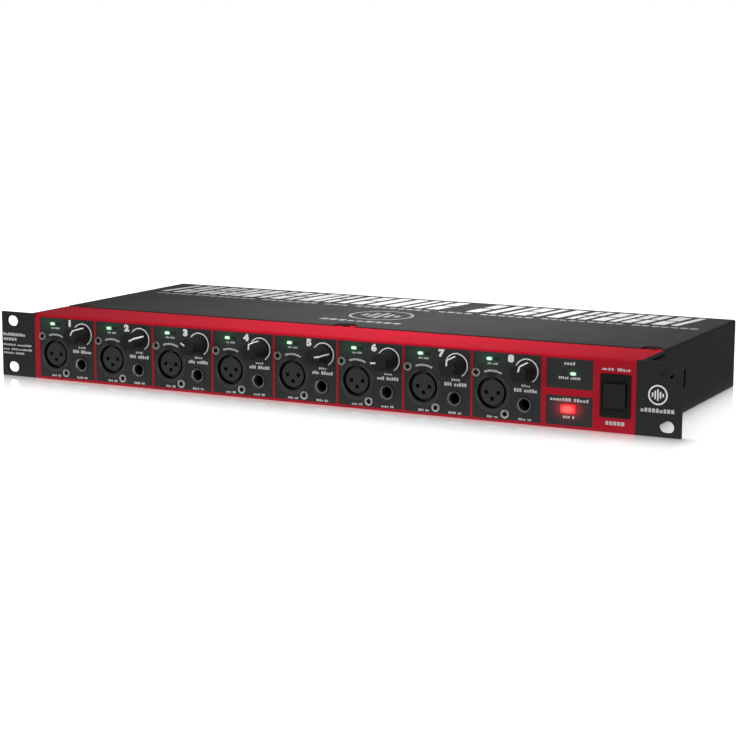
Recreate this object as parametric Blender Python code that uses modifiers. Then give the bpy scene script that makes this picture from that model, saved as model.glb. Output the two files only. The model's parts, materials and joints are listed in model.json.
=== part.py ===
"""Eight-channel audio interface in a one-unit rack case, in metres.

+X is the operator's right, -Y the front and +Z up. The origin is the middle of the
underside of the case, so the face of the front panel stands at y = FRONT.
"""

from math import cos, pi, radians, sin

import bmesh
import bpy
from mathutils import Matrix, Vector

# Rack standard: one unit of a 19-inch rack.
PANEL_WIDTH = 0.4826
PANEL_HEIGHT = 0.044
PANEL_THICK = 0.002
RACK_HOLE_SPACING_X = 0.465
RACK_HOLE_SPACING_Z = 0.03175
RACK_SLOT_WIDTH = 0.0092
RACK_SLOT_HEIGHT = 0.0072

# Case.
CASE_HALF = 0.217
CASE_DEPTH = 0.190
FRONT = -CASE_DEPTH / 2
BACK = CASE_DEPTH / 2
SHEET = 0.001
GAP = 0.0003
COVER_TOP = 0.0446
RED_HALF = 0.2136
FLANGE_DEPTH = 0.042
TONGUE_DROP = 0.0007
TONGUE_DEPTH = 0.056
COVER_FRONT = 0.0433
COVER_SCREW_X = (-0.208, 0.0, 0.208)
COVER_SCREW_DEPTH = 0.046
COVER_NOTCH_RADIUS = (0.0065, 0.008, 0.0065)
BEND = 0.0015
REAR_WALL = 0.0012
LIP_HEIGHT = 0.010
VENT_DEPTHS = (0.040, 0.052, 0.064, 0.076)
VENT_WIDTH = 0.008
VENT_LOW = 0.016
VENT_HIGH = 0.027

# Channels: every front connector and control repeats at this pitch.
CHANNELS = 8
PITCH = 0.04572
MIC_X = -0.1969
MIC_Z = 0.0175
JACK_FROM_MIC = 0.0209
JACK_Z = 0.0117
KNOB_FROM_MIC = 0.0222
KNOB_Z = 0.0322
SIGNAL_FROM_MIC = -0.00185
CLIP_FROM_MIC = 0.0029
LED_Z = 0.0381
LED_WIDTH = 0.0042
LED_HEIGHT = 0.0022

# Microphone inputs: three-pin female sockets behind a round panel hole.
MIC_HOLE = 0.0116
MIC_BARREL = 0.0112
MIC_BORE = 0.0095
MIC_INSERT = 0.0079
MIC_GROOVE_DEPTH = 0.012
MIC_DEPTH = 0.026
MIC_PROUD = 0.0004
MIC_HALF = 0.011
MIC_TOP = 0.0122
MIC_INSERT_SUNK = 0.0008
PIN_CIRCLE = 0.0039
PIN_PLACES = ((-PIN_CIRCLE, 0), (PIN_CIRCLE, 0), (0, -PIN_CIRCLE))
PIN_HOLE = 0.0013
FLANGE_WIDTH = 0.026
FLANGE_HEIGHT = 0.031
FLANGE_THICK = 0.0022

# Line inputs: 6.35 mm jack sockets.
JACK_HOLE = 0.0050
JACK_BUSH = 0.0047
JACK_BORE = 0.0033
JACK_DEPTH = 0.026
JACK_PROUD = 0.0009
JACK_HALF = 0.006
JACK_TOP = 0.0062

# Gain controls.
KNOB_FRONT = 0.0052
KNOB_BASE = 0.0060
KNOB_LENGTH = 0.015
KNOB_CLEAR = 0.0006
KNOB_ROUND = 0.0006
KNOB_SKIRT = 0.0022
SHAFT = 0.0030
SHAFT_BACK = 0.0108
SHAFT_HOLE = 0.0037
POT_BORE = 0.0032
POT_FRONT = 0.0045
POT_BACK = 0.0127
POT_BEARING = 0.0046
POT_BOTTOM = 0.0012
POT_SIDE = 0.014
POINTER_WIDTH = 0.0009
POINTER_START = 0.0017
POINTER_SINK = 0.0004
POINTER_LENGTH = 0.013
# Angle of each pointer line, anticlockwise from three o'clock, seen from the front.
POINTER_ANGLES = (60, 28, 150, 83, 10, 183, 86, 72)

# Clock, phantom and power section at the right-hand end.
SYNC_LED_X = 0.1748
SYNC_LED_Z = 0.0329
PHANTOM_X = 0.17225
PHANTOM_Z = 0.0118
PHANTOM_WIDTH = 0.0090
PHANTOM_HEIGHT = 0.0050
PHANTOM_PROUD = 0.0018
PHANTOM_CAP_BACK = 0.010
PHANTOM_BODY_HALF = 0.0065
PHANTOM_BODY_TOP = 0.0055
PHANTOM_BODY_BACK = 0.016
PHANTOM_WELL_BACK = 0.0115
POWER_X = 0.20125
POWER_Z = 0.0219
BEZEL_WIDTH = 0.0189
BEZEL_HEIGHT = 0.02625
BEZEL_PROUD = 0.0015
WELL_WIDTH = 0.0153
WELL_LOW = 0.0135
WELL_HIGH = 0.0310
POWER_CAP_WIDTH = 0.0136
POWER_CAP_HEIGHT = 0.0142
POWER_CAP_Z = 0.0225
POWER_CAP_PROUD = 0.0030
POWER_CAP_BACK = 0.005
POWER_STEM = 0.0020
POWER_STEM_BACK = 0.017
POWER_GUIDE = 0.0024
POWER_GUIDE_BACK = 0.020
POWER_BODY_BACK = 0.026
BEZEL_LAP = 0.0008
WELL_BACK = 0.0065

# Rear connectors.
OUTPUT_X = 0.020
OUTPUT_PITCH = 0.0305
OUTPUT_Z = 0.022
OUTPUT_HOLE = 0.0121
OUTPUT_BARREL = 0.0117
OUTPUT_BORE = 0.0097
OUTPUT_RECESS = 0.014
OUTPUT_PIN = 0.0012
OUTPUT_PROUD = 0.0004
OUTPUT_HALF = 0.0115
OUTPUT_TOP = 0.0125
OUTPUT_BACK = 0.024
INLET_X = 0.182
INLET_Z = 0.022
INLET_WIDTH = 0.050
INLET_HEIGHT = 0.028
DRAWER_X = 0.1645
DRAWER_WIDTH = 0.0114
DRAWER_HEIGHT = 0.0214
DRAWER_DEPTH = 0.017
DRAWER_PROUD = 0.0028
NOTCH_Z = 0.0072
NOTCH_WIDTH = 0.006
NOTCH_HEIGHT = 0.0035
FUSE_WIDTH = 0.007
FUSE_LENGTH = 0.013
FUSE_FRONT = -0.0015
FUSE_TOP = 0.006
SOCKET_X = 0.1905
SOCKET_WIDTH = 0.0246
SOCKET_HEIGHT = 0.0168
SOCKET_CORNER = 0.0045
SOCKET_BACK = 0.0165
INLET_PROUD = 0.0022
INLET_LAP = 0.0015
INLET_BACK = 0.024
BLADE_WIDTH = 0.002
BLADE_HEIGHT = 0.004
BLADE_PLACES = ((-0.007, -0.001), (0.0, 0.003), (0.007, -0.001))
SYNC_SWITCH_X = 0.1245
SYNC_TRAVEL = 0.009
SYNC_TAB_WIDTH = 0.0038
SYNC_TAB_HEIGHT = 0.0036
SYNC_TAB_PROUD = 0.0022
SYNC_SPARE = 0.0004
SYNC_SHOE_WIDTH = 0.0068
SYNC_SHOE_HEIGHT = 0.0054
SYNC_SHOE_FRONT = 0.0036
SYNC_SHOE_BACK = 0.0062
SYNC_BODY_WIDTH = 0.024
SYNC_BODY_HEIGHT = 0.010
SYNC_BODY_DEPTH = 0.009
SYNC_CHANNEL_DEPTH = 0.005
CLOCK_X = 0.099
CLOCK_HOLE = 0.0052
CLOCK_BARREL = 0.0048
CLOCK_BORE = 0.0040
CLOCK_LENGTH = 0.0115
CLOCK_NUT = 0.0075
CLOCK_NUT_THICK = 0.0024
CLOCK_BODY = 0.014
CLOCK_LUG = 0.0010
CLOCK_LUG_OUT = 0.0085
CLOCK_LUG_SPAN = 0.0114
CLOCK_CONTACT = 0.0011
CLOCK_CONTACT_OUT = 0.009
OPTICAL_IN_X = 0.075
OPTICAL_OUT_X = 0.052
OPTICAL_WIDTH = 0.0132
OPTICAL_HEIGHT = 0.0104
OPTICAL_HALF = 0.0041
OPTICAL_CORNER = 0.0016
OPTICAL_PROUD = 0.0008
OPTICAL_DEPTH = 0.013
OPTICAL_RECESS = 0.008
OPTICAL_WINDOW = 0.0012
OPTICAL_WINDOW_SUNK = 0.0028

# Circuit boards.
BOARD_LOW = 0.0030
BOARD_THICK = 0.0016
BOARD_TOP = BOARD_LOW + BOARD_THICK
SOLDER_SINK = 0.0004
HEADER_HEIGHT = 0.004
PREAMP_LEFT = -0.212
PREAMP_RIGHT = 0.150
SUPPLY_LEFT = 0.156
SUPPLY_RIGHT = 0.212
RIBBON_LEFT = -0.040
RIBBON_RIGHT = 0.0
RIBBON_START = FRONT + 0.089
RIBBON_END = FRONT + 0.111
PILLAR_RADIUS = 0.0028
AUDIO_PILLARS = ((-0.205, 0.144), (0.034, 0.090, 0.110, 0.180))
SUPPLY_PILLARS = ((0.162, 0.206), (0.040, 0.152))

# How far a cutter runs past what it cuts.
BEYOND = 0.01
FAR = 0.3

# Softened edge of a moulded piece, and the sides of the round shapes.
EDGE = 0.0006
ROUND_LARGE = 20
ROUND_SMALL = 12

X = Vector((1, 0, 0))
Y = Vector((0, 1, 0))
Z = Vector((0, 0, 1))


def clear_scene():
    for obj in list(bpy.data.objects):
        bpy.data.objects.remove(obj, do_unlink=True)


def collection(name):
    made = bpy.data.collections.new(name)
    bpy.context.scene.collection.children.link(made)
    return made


def material(name, colour, roughness, metallic=0.0):
    made = bpy.data.materials.new(name)
    made.use_nodes = True
    shader = made.node_tree.nodes["Principled BSDF"]
    shader.inputs["Base Color"].default_value = (*colour, 1.0)
    shader.inputs["Roughness"].default_value = roughness
    shader.inputs["Metallic"].default_value = metallic
    return made


def object_of(name, mesh):
    """A helper shape, kept out of the render until a part takes it over."""
    obj = bpy.data.objects.new(name, mesh)
    cutters.objects.link(obj)
    obj.hide_render = True
    obj.display_type = "WIRE"
    return obj


def from_bmesh(name, bm):
    mesh = bpy.data.meshes.new(name)
    bm.to_mesh(mesh)
    bm.free()
    return object_of(name, mesh)


def box(low, high, name="box"):
    """A block between two corners."""
    bm = bmesh.new()
    bmesh.ops.create_cube(bm, size=1.0)
    low = Vector(low)
    high = Vector(high)
    size = high - low
    bmesh.ops.scale(bm, vec=size, verts=bm.verts)
    bmesh.ops.translate(bm, vec=(low + high) / 2, verts=bm.verts)
    return from_bmesh(name, bm)


def rod(centre, radius, length, segments, axis=Y, name="rod"):
    """A cylinder that runs from centre along axis, with a flat of its outline facing up."""
    bm = bmesh.new()
    turn = Z.rotation_difference(axis).to_matrix().to_4x4()
    spin = Matrix.Rotation(pi / segments, 4, "Z")
    shift = Matrix.Translation(Vector(centre) + axis * length / 2)
    bmesh.ops.create_cone(
        bm,
        cap_ends=True,
        segments=segments,
        radius1=radius,
        radius2=radius,
        depth=length,
        matrix=shift @ turn @ spin,
    )
    return from_bmesh(name, bm)


def outline(points, low, high, axis, name="outline"):
    """A flat closed outline, in the plane across axis, stretched from low to high along it."""
    curve = bpy.data.curves.new(name, "CURVE")
    curve.dimensions = "2D"
    curve.fill_mode = "BOTH"
    curve.extrude = (high - low) / 2
    spline = curve.splines.new("POLY")
    spline.points.add(len(points) - 1)
    for point, (across, up) in zip(spline.points, points):
        point.co = (across, up, 0, 1)
    spline.use_cyclic_u = True
    obj = bpy.data.objects.new(name, curve)
    cutters.objects.link(obj)
    middle = (high + low) / 2
    if axis == X:
        # The outline's first number is depth along Y, its second height along Z.
        frame = Matrix(((0, 0, 1, middle), (1, 0, 0, 0), (0, 1, 0, 0), (0, 0, 0, 1)))
    else:
        # The outline's first number is X, its second height along Z.
        frame = Matrix(((1, 0, 0, 0), (0, 0, -1, middle), (0, 1, 0, 0), (0, 0, 0, 1)))
    obj.matrix_world = frame
    bpy.context.view_layer.update()
    graph = bpy.context.evaluated_depsgraph_get()
    mesh = bpy.data.meshes.new_from_object(obj.evaluated_get(graph))
    mesh.transform(frame)
    bm = bmesh.new()
    bm.from_mesh(mesh)
    bmesh.ops.remove_doubles(bm, verts=bm.verts, dist=1e-6)
    bmesh.ops.recalc_face_normals(bm, faces=bm.faces)
    bpy.data.objects.remove(obj, do_unlink=True)
    bpy.data.meshes.remove(mesh)
    return from_bmesh(name, bm)


def turned(profile, steps, name="turned"):
    """A turned shape about Y. The profile is (radius, distance forward), front end first."""
    bm = bmesh.new()
    verts = [bm.verts.new((radius, 0, height)) for radius, height in profile]
    for first, second in zip(verts, verts[1:]):
        bm.edges.new((first, second))
    obj = from_bmesh(name, bm)
    screw = obj.modifiers.new("turn", "SCREW")
    screw.axis = "Z"
    screw.steps = steps
    screw.render_steps = steps
    screw.use_merge_vertices = True
    screw.merge_threshold = 0.00001
    baked = bake(obj)
    baked.data.transform(Matrix.Rotation(radians(90), 4, "X"))
    return baked


def boolean(target, other, operation):
    modifier = target.modifiers.new(operation.lower(), "BOOLEAN")
    modifier.object = other
    modifier.operation = operation
    modifier.solver = "EXACT"


def bake(obj):
    """The same object with its modifiers made into its mesh."""
    bpy.context.view_layer.update()
    graph = bpy.context.evaluated_depsgraph_get()
    mesh = bpy.data.meshes.new_from_object(obj.evaluated_get(graph))
    obj.modifiers.clear()
    obj.data = mesh
    return obj


def fuse(pieces, cuts=()):
    """The first piece with the others joined on, then the cuts taken out."""
    base = pieces[0]
    for piece in pieces[1:]:
        boolean(base, piece, "UNION")
    for cut in cuts:
        boolean(base, cut, "DIFFERENCE")
    return base


def soften(obj, width, segments=1, angle=40):
    bevel = obj.modifiers.new("edges", "BEVEL")
    bevel.width = width
    bevel.segments = segments
    bevel.limit_method = "ANGLE"
    bevel.angle_limit = radians(angle)
    bevel.use_clamp_overlap = True


def part(obj, name, look, at=(0, 0, 0), parent=None):
    """Moves a finished shape from the helpers to the parts, as the node of this name.

    A shape on a parent is baked first, so that its helpers don't stay behind when it moves.
    """
    if parent:
        bake(obj)
    cutters.objects.unlink(obj)
    parts.objects.link(obj)
    obj.hide_render = False
    obj.display_type = "TEXTURED"
    obj.name = name
    obj.location = at
    obj.data.materials.clear()
    obj.data.materials.append(look)
    if parent:
        obj.parent = parent
    return obj


def copies(obj, stem, look, places, parents=None, turns=None):
    """One object for each place, all sharing the baked mesh of obj."""
    baked = bake(obj)
    baked.data.shade_smooth()
    baked.data.set_sharp_from_angle(angle=radians(40))
    mesh = baked.data
    bpy.data.objects.remove(baked, do_unlink=True)
    for index, place in enumerate(places):
        copy = object_of(stem, mesh)
        parent = parents[index] if parents else None
        made = part(copy, f"{stem}_{index + 1}", look, place, parent)
        if turns:
            made.rotation_euler = (0, turns[index], 0)


def axis_marker(name, at):
    """An empty on the axis of a moving piece."""
    marker = bpy.data.objects.new(name, None)
    marker.empty_display_size = 0.01
    parts.objects.link(marker)
    marker.location = at
    return marker


def arc(centre, radius, start, end, count):
    """Points on an arc, in degrees, for an outline."""
    found = []
    for step in range(count + 1):
        angle = radians(start + (end - start) * step / count)
        found.append((centre[0] + radius * cos(angle), centre[1] + radius * sin(angle)))
    return found


def slab(centre_x, centre_z, width, height, front, back, name="slab"):
    """A block given by its place on a front or rear face and by how deep it runs."""
    return box(
        (centre_x - width / 2, front, centre_z - height / 2),
        (centre_x + width / 2, back, centre_z + height / 2),
        name,
    )


def keyed_outline(half, rise, corner, centre):
    """A rectangle whose two upper corners are cut off, so that a plug fits one way round."""
    points = [(-half, -rise), (half, -rise), (half, rise - corner), (half - corner, rise)]
    points += [(corner - half, rise), (-half, rise - corner)]
    return [(centre[0] + across, centre[1] + up) for across, up in points]


def obround(centre_x, centre_z, width, height, front, back):
    """A slot with round ends, lying along X."""
    radius = height / 2
    reach = (width - height) / 2
    right = arc((centre_x + reach, centre_z), radius, -90, 90, 8)
    left = arc((centre_x - reach, centre_z), radius, 90, 270, 8)
    return outline(right + left, front, back, Y, "slot")


def channel_x(index, offset=0.0):
    return MIC_X + index * PITCH + offset


def output_x(index):
    return OUTPUT_X - index * OUTPUT_PITCH


def front_panel():
    """One folded sheet: the face with its ears, and a top flange that steps down under the cover."""
    top = PANEL_HEIGHT
    low = top - PANEL_THICK
    bend = BEND + PANEL_THICK
    edge = FRONT + FLANGE_DEPTH
    step = edge + TONGUE_DROP
    end = FRONT + TONGUE_DEPTH
    section = [(FRONT, 0)]
    section += arc((FRONT + bend, top - bend), bend, 180, 90, 6)
    section += [(edge, top), (step, top - TONGUE_DROP), (end, top - TONGUE_DROP)]
    section += [(end, low - TONGUE_DROP), (step - PANEL_THICK / 2, low - TONGUE_DROP)]
    section += [(edge - PANEL_THICK / 2, low)]
    section += arc((FRONT + bend, top - bend), BEND, 90, 180, 4)
    section += [(FRONT + PANEL_THICK, 0)]
    fold = outline(section, -CASE_HALF, CASE_HALF, X, "fold")

    pieces = [fold]
    face_back = FRONT + PANEL_THICK
    for side in (-1, 1):
        inner = side * RED_HALF
        outer = side * PANEL_WIDTH / 2
        ear = box(
            (min(inner, outer), FRONT, 0),
            (max(inner, outer), face_back, PANEL_HEIGHT),
            "ear",
        )
        pieces.append(ear)

    before = FRONT - BEYOND
    behind = FRONT + 4 * PANEL_THICK
    cuts = []
    for side in (-1, 1):
        x = side * RACK_HOLE_SPACING_X / 2
        for end_z in (-1, 1):
            z = PANEL_HEIGHT / 2 + end_z * RACK_HOLE_SPACING_Z / 2
            cuts.append(obround(x, z, RACK_SLOT_WIDTH, RACK_SLOT_HEIGHT, before, behind))
        tongue_end = side * (CASE_HALF - SHEET - GAP)
        beyond = side * (CASE_HALF + BEYOND)
        cuts.append(
            box(
                (min(tongue_end, beyond), edge + PANEL_THICK / 4, low - BEYOND),
                (max(tongue_end, beyond), end + BEYOND, top + BEYOND),
            )
        )
    for index in range(CHANNELS):
        mic = channel_x(index)
        jack = channel_x(index, JACK_FROM_MIC)
        knob = channel_x(index, KNOB_FROM_MIC)
        cuts.append(rod((mic, before, MIC_Z), MIC_HOLE, behind - before, ROUND_LARGE))
        cuts.append(rod((jack, before, JACK_Z), JACK_HOLE, behind - before, ROUND_SMALL))
        cuts.append(rod((knob, before, KNOB_Z), SHAFT_HOLE, behind - before, ROUND_SMALL))
        for offset in (SIGNAL_FROM_MIC, CLIP_FROM_MIC):
            x = channel_x(index, offset)
            cuts.append(slab(x, LED_Z, LED_WIDTH, LED_HEIGHT, before, behind))
    cuts.append(slab(SYNC_LED_X, SYNC_LED_Z, LED_WIDTH, LED_HEIGHT, before, behind))
    wide = PHANTOM_WIDTH + 2 * GAP
    high = PHANTOM_HEIGHT + 2 * GAP
    cuts.append(slab(PHANTOM_X, PHANTOM_Z, wide, high, before, behind))
    wide = BEZEL_WIDTH - 2 * BEZEL_LAP
    high = BEZEL_HEIGHT - 2 * BEZEL_LAP
    cuts.append(slab(POWER_X, POWER_Z, wide, high, before, behind))
    part(fuse(pieces, cuts), "front_panel", red_paint)


def base_tray():
    """Floor, rear wall and side lips of one sheet, with the board pillars pressed into the floor."""
    inner = CASE_HALF - SHEET - GAP
    wall_front = BACK - REAR_WALL
    wall_top = COVER_TOP - SHEET - GAP
    floor = box((-inner, FRONT + PANEL_THICK + GAP, 0), (inner, BACK, SHEET), "floor")
    rear = box((-inner, wall_front, 0), (inner, BACK, wall_top), "rear")
    pieces = [floor, rear]
    for side in (-1, 1):
        edge = side * inner
        inside = side * (inner - SHEET)
        low = (min(edge, inside), FRONT + 3 * PANEL_THICK, 0)
        high = (max(edge, inside), BACK - SHEET / 2, LIP_HEIGHT)
        pieces.append(box(low, high, "lip"))
    pillar_top = BOARD_LOW - GAP
    for across, depths in (AUDIO_PILLARS, SUPPLY_PILLARS):
        for x in across:
            for depth in depths:
                foot = (x, FRONT + depth, SHEET / 2)
                pieces.append(rod(foot, PILLAR_RADIUS, pillar_top - SHEET / 2, 8, Z))

    before = wall_front - 4 * SHEET
    behind = BACK + BEYOND
    cuts = []
    for index in range(CHANNELS):
        x = output_x(index)
        cuts.append(rod((x, before, OUTPUT_Z), OUTPUT_HOLE, behind - before, ROUND_LARGE))
    wide = INLET_WIDTH - 2 * INLET_LAP
    high = INLET_HEIGHT - 2 * INLET_LAP
    cuts.append(slab(INLET_X, INLET_Z, wide, high, before, behind))
    wide = SYNC_TRAVEL + SYNC_TAB_WIDTH + 2 * SYNC_SPARE
    high = SYNC_TAB_HEIGHT + 2 * SYNC_SPARE
    cuts.append(slab(SYNC_SWITCH_X, OUTPUT_Z, wide, high, before, behind))
    cuts.append(rod((CLOCK_X, before, OUTPUT_Z), CLOCK_HOLE, behind - before, 16))
    for x in (OPTICAL_IN_X, OPTICAL_OUT_X):
        wide = OPTICAL_WIDTH + 2 * GAP
        high = OPTICAL_HEIGHT + 2 * GAP
        cuts.append(slab(x, OUTPUT_Z, wide, high, before, behind))
    part(fuse(pieces, cuts), "base_tray", grey_steel)


def top_cover():
    """Folded lid: the top sheet and both side walls, notched for the three front screws."""
    corner = COVER_TOP - BEND
    side = CASE_HALF - BEND
    outer = [(CASE_HALF, 0)]
    outer += arc((side, corner), BEND, 0, 90, 4)
    outer += arc((-side, corner), BEND, 90, 180, 4)
    outer += [(-CASE_HALF, 0), (SHEET - CASE_HALF, 0)]
    outer += arc((-side, corner), BEND - SHEET, 180, 90, 2)
    outer += arc((side, corner), BEND - SHEET, 90, 0, 2)
    outer += [(CASE_HALF - SHEET, 0)]
    shell = outline(outer, FRONT + PANEL_THICK + GAP, BACK, Y, "lid")

    cuts = []
    under_flange = PANEL_HEIGHT - PANEL_THICK - TONGUE_DROP - GAP
    cuts.append(
        box(
            (-FAR, FRONT - BEYOND, under_flange),
            (FAR, FRONT + COVER_FRONT, FAR),
        )
    )
    floor_of_cut = COVER_TOP - SHEET * 1.2
    for x, radius in zip(COVER_SCREW_X, COVER_NOTCH_RADIUS):
        y = FRONT + COVER_SCREW_DEPTH
        cuts.append(rod((x, y, floor_of_cut), radius, BEYOND, 16, Z))
        cuts.append(box((x - radius, FRONT, floor_of_cut), (x + radius, y, FAR)))
    for end in (-1, 1):
        for depth in VENT_DEPTHS:
            wall = end * CASE_HALF
            low = (wall - 4 * SHEET, FRONT + depth, VENT_LOW)
            high = (wall + 4 * SHEET, FRONT + depth + VENT_WIDTH, VENT_HIGH)
            cuts.append(box(low, high))
    part(fuse([shell], cuts), "top_cover", grey_steel)


def mic_inputs():
    """Three-pin female socket: a mounting flange, a barrel with a ring groove, and the insert in it."""
    start = -MIC_PROUD
    flange_front = PANEL_THICK + GAP
    flange_back = flange_front + FLANGE_THICK
    flange = slab(0, 0, FLANGE_WIDTH, FLANGE_HEIGHT, flange_front, flange_back)
    barrel = rod((0, start, 0), MIC_BARREL, flange_back - start, ROUND_LARGE)
    low = BOARD_TOP + GAP - MIC_Z
    body = box((-MIC_HALF, flange_back - FLANGE_THICK / 2, low), (MIC_HALF, MIC_DEPTH, MIC_TOP))
    groove = [(MIC_INSERT, BEYOND), (MIC_BORE, BEYOND)]
    groove += [(MIC_BORE, -MIC_GROOVE_DEPTH), (MIC_INSERT, -MIC_GROOVE_DEPTH)]
    groove += [(MIC_INSERT, BEYOND)]
    cuts = [turned(groove, ROUND_LARGE, "groove")]
    cuts.append(rod((0, -BEYOND, 0), MIC_INSERT + GAP, BEYOND + MIC_INSERT_SUNK, ROUND_LARGE))
    for x, z in PIN_PLACES:
        cuts.append(rod((x, -BEYOND, z), PIN_HOLE, BEYOND + MIC_GROOVE_DEPTH, 8))
    places = [(channel_x(index), FRONT, MIC_Z) for index in range(CHANNELS)]
    copies(fuse([flange, barrel, body], cuts), "mic_input", black_plastic, places)


def line_inputs():
    """Jack socket: a threaded bush through the panel and a moulded body on the board."""
    low = BOARD_TOP + GAP - JACK_Z
    body = box((-JACK_HALF, PANEL_THICK + GAP, low), (JACK_HALF, JACK_DEPTH, JACK_TOP))
    bevelled = JACK_PROUD / 2
    rim = [(0, JACK_PROUD), (JACK_BUSH - bevelled, JACK_PROUD), (JACK_BUSH, bevelled)]
    bush = turned(rim + [(JACK_BUSH, -JACK_BUSH), (0, -JACK_BUSH)], ROUND_SMALL, "bush")
    bore = rod((0, -BEYOND, 0), JACK_BORE, BEYOND + JACK_DEPTH - PANEL_THICK, ROUND_SMALL)
    ahead = 2 * JACK_PROUD
    lead_in = turned(
        [(0, ahead), (JACK_HOLE, ahead), (JACK_BORE - GAP, -GAP), (0, -GAP)],
        ROUND_SMALL,
        "lead_in",
    )
    places = [(channel_x(i, JACK_FROM_MIC), FRONT, JACK_Z) for i in range(CHANNELS)]
    copies(fuse([body, bush], [bore, lead_in]), "line_input", black_plastic, places)


def gain_pots():
    """Potentiometer: a square can behind the panel with the bearing for the shaft."""
    half = POT_SIDE / 2
    can = box((-half, POT_FRONT, -half), (half, POT_BACK, half))
    bearing = rod((0, PANEL_THICK + GAP, 0), POT_BEARING, POT_FRONT - PANEL_THICK, ROUND_SMALL)
    bore = rod((0, 0, 0), POT_BORE, POT_BACK - POT_BOTTOM, ROUND_SMALL)
    places = [(channel_x(i, KNOB_FROM_MIC), FRONT, KNOB_Z) for i in range(CHANNELS)]
    copies(fuse([can, bearing], [bore]), "gain_pot", zinc, places)


def gain_knobs():
    """Tapered knob on its shaft, with a sunk pointer line over the front and down the side."""
    face = KNOB_LENGTH
    base = KNOB_CLEAR
    profile = [
        (0, face),
        (KNOB_FRONT - KNOB_ROUND, face),
        (KNOB_FRONT, face - KNOB_ROUND),
        (KNOB_BASE - GAP, base + KNOB_SKIRT + GAP),
        (KNOB_BASE, base + KNOB_SKIRT),
        (KNOB_BASE, base),
        (SHAFT, base),
        (SHAFT, -SHAFT_BACK),
        (0, -SHAFT_BACK),
    ]
    knob = turned(profile, ROUND_LARGE, "knob")
    half = POINTER_WIDTH / 2
    front_line = box((-half, -face - BEYOND, POINTER_START), (half, POINTER_SINK - face, BEYOND))
    slope = (KNOB_BASE - KNOB_FRONT) / (face - base)
    reach = POINTER_LENGTH / 2
    side_line = box((-half, -reach, -POINTER_SINK), (half, reach, BEYOND))
    tilt = Matrix.Rotation(-slope, 4, "X")
    middle = Vector((0, reach - face - KNOB_CLEAR, (KNOB_BASE + KNOB_FRONT) / 2))
    side_line.data.transform(Matrix.Translation(middle) @ tilt)
    markers = []
    for index in range(CHANNELS):
        place = (channel_x(index, KNOB_FROM_MIC), FRONT, KNOB_Z)
        markers.append(axis_marker(f"gain_axis_{index + 1}", place))
    turns = [radians(90 - angle) for angle in POINTER_ANGLES]
    places = [(0, 0, 0)] * CHANNELS
    cut = fuse([knob], [front_line, side_line])
    copies(cut, "gain_knob", knob_plastic, places, markers, turns)


def power_switch():
    """Latching mains switch: its body, its bezel on the panel, and the button in its well."""
    through_width = BEZEL_WIDTH - 2 * (BEZEL_LAP + GAP)
    through_height = BEZEL_HEIGHT - 2 * (BEZEL_LAP + GAP)
    proud = FRONT - BEZEL_PROUD
    seat = FRONT - GAP
    bezel = slab(POWER_X, POWER_Z, BEZEL_WIDTH, BEZEL_HEIGHT, proud, seat, "bezel")
    soften(bezel, EDGE)
    face = proud + EDGE
    back = FRONT + POWER_BODY_BACK
    body = slab(POWER_X, POWER_Z, through_width, through_height, face, back)
    well_z = (WELL_LOW + WELL_HIGH) / 2
    well_height = WELL_HIGH - WELL_LOW
    well = slab(POWER_X, well_z, WELL_WIDTH, well_height, FRONT - BEYOND, FRONT + WELL_BACK)
    guide = rod((POWER_X, FRONT, POWER_CAP_Z), POWER_GUIDE, POWER_GUIDE_BACK, ROUND_SMALL)
    part(fuse([bezel, body], [well, guide]), "power_switch", black_plastic)

    marker = axis_marker("power_axis", (POWER_X, FRONT, POWER_CAP_Z))
    wide = POWER_CAP_WIDTH
    high = POWER_CAP_HEIGHT
    cap = slab(0, 0, wide, high, -POWER_CAP_PROUD, POWER_CAP_BACK, "cap")
    soften(cap, EDGE, 2)
    stem = rod((0, 0, 0), POWER_STEM, POWER_STEM_BACK, ROUND_SMALL)
    part(fuse([cap, stem]), "power_button", black_plastic, parent=marker)


def phantom_switch():
    """Latching illuminated switch on the board, with a red lens cap through the panel."""
    low = BOARD_TOP + GAP
    wide = PHANTOM_WIDTH + 2 * GAP
    high = PHANTOM_HEIGHT + 2 * GAP
    body = box(
        (PHANTOM_X - PHANTOM_BODY_HALF, FRONT + PANEL_THICK + GAP, low),
        (PHANTOM_X + PHANTOM_BODY_HALF, FRONT + PHANTOM_BODY_BACK, PHANTOM_Z + PHANTOM_BODY_TOP),
    )
    well = slab(PHANTOM_X, PHANTOM_Z, wide, high, FRONT, FRONT + PHANTOM_WELL_BACK)
    part(fuse([body], [well]), "phantom_switch", black_plastic)

    marker = axis_marker("phantom_axis", (PHANTOM_X, FRONT, PHANTOM_Z))
    cap = slab(0, 0, PHANTOM_WIDTH, PHANTOM_HEIGHT, -PHANTOM_PROUD, PHANTOM_CAP_BACK, "lens")
    soften(cap, EDGE, 2)
    part(cap, "phantom_button", red_lens, parent=marker)


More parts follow.
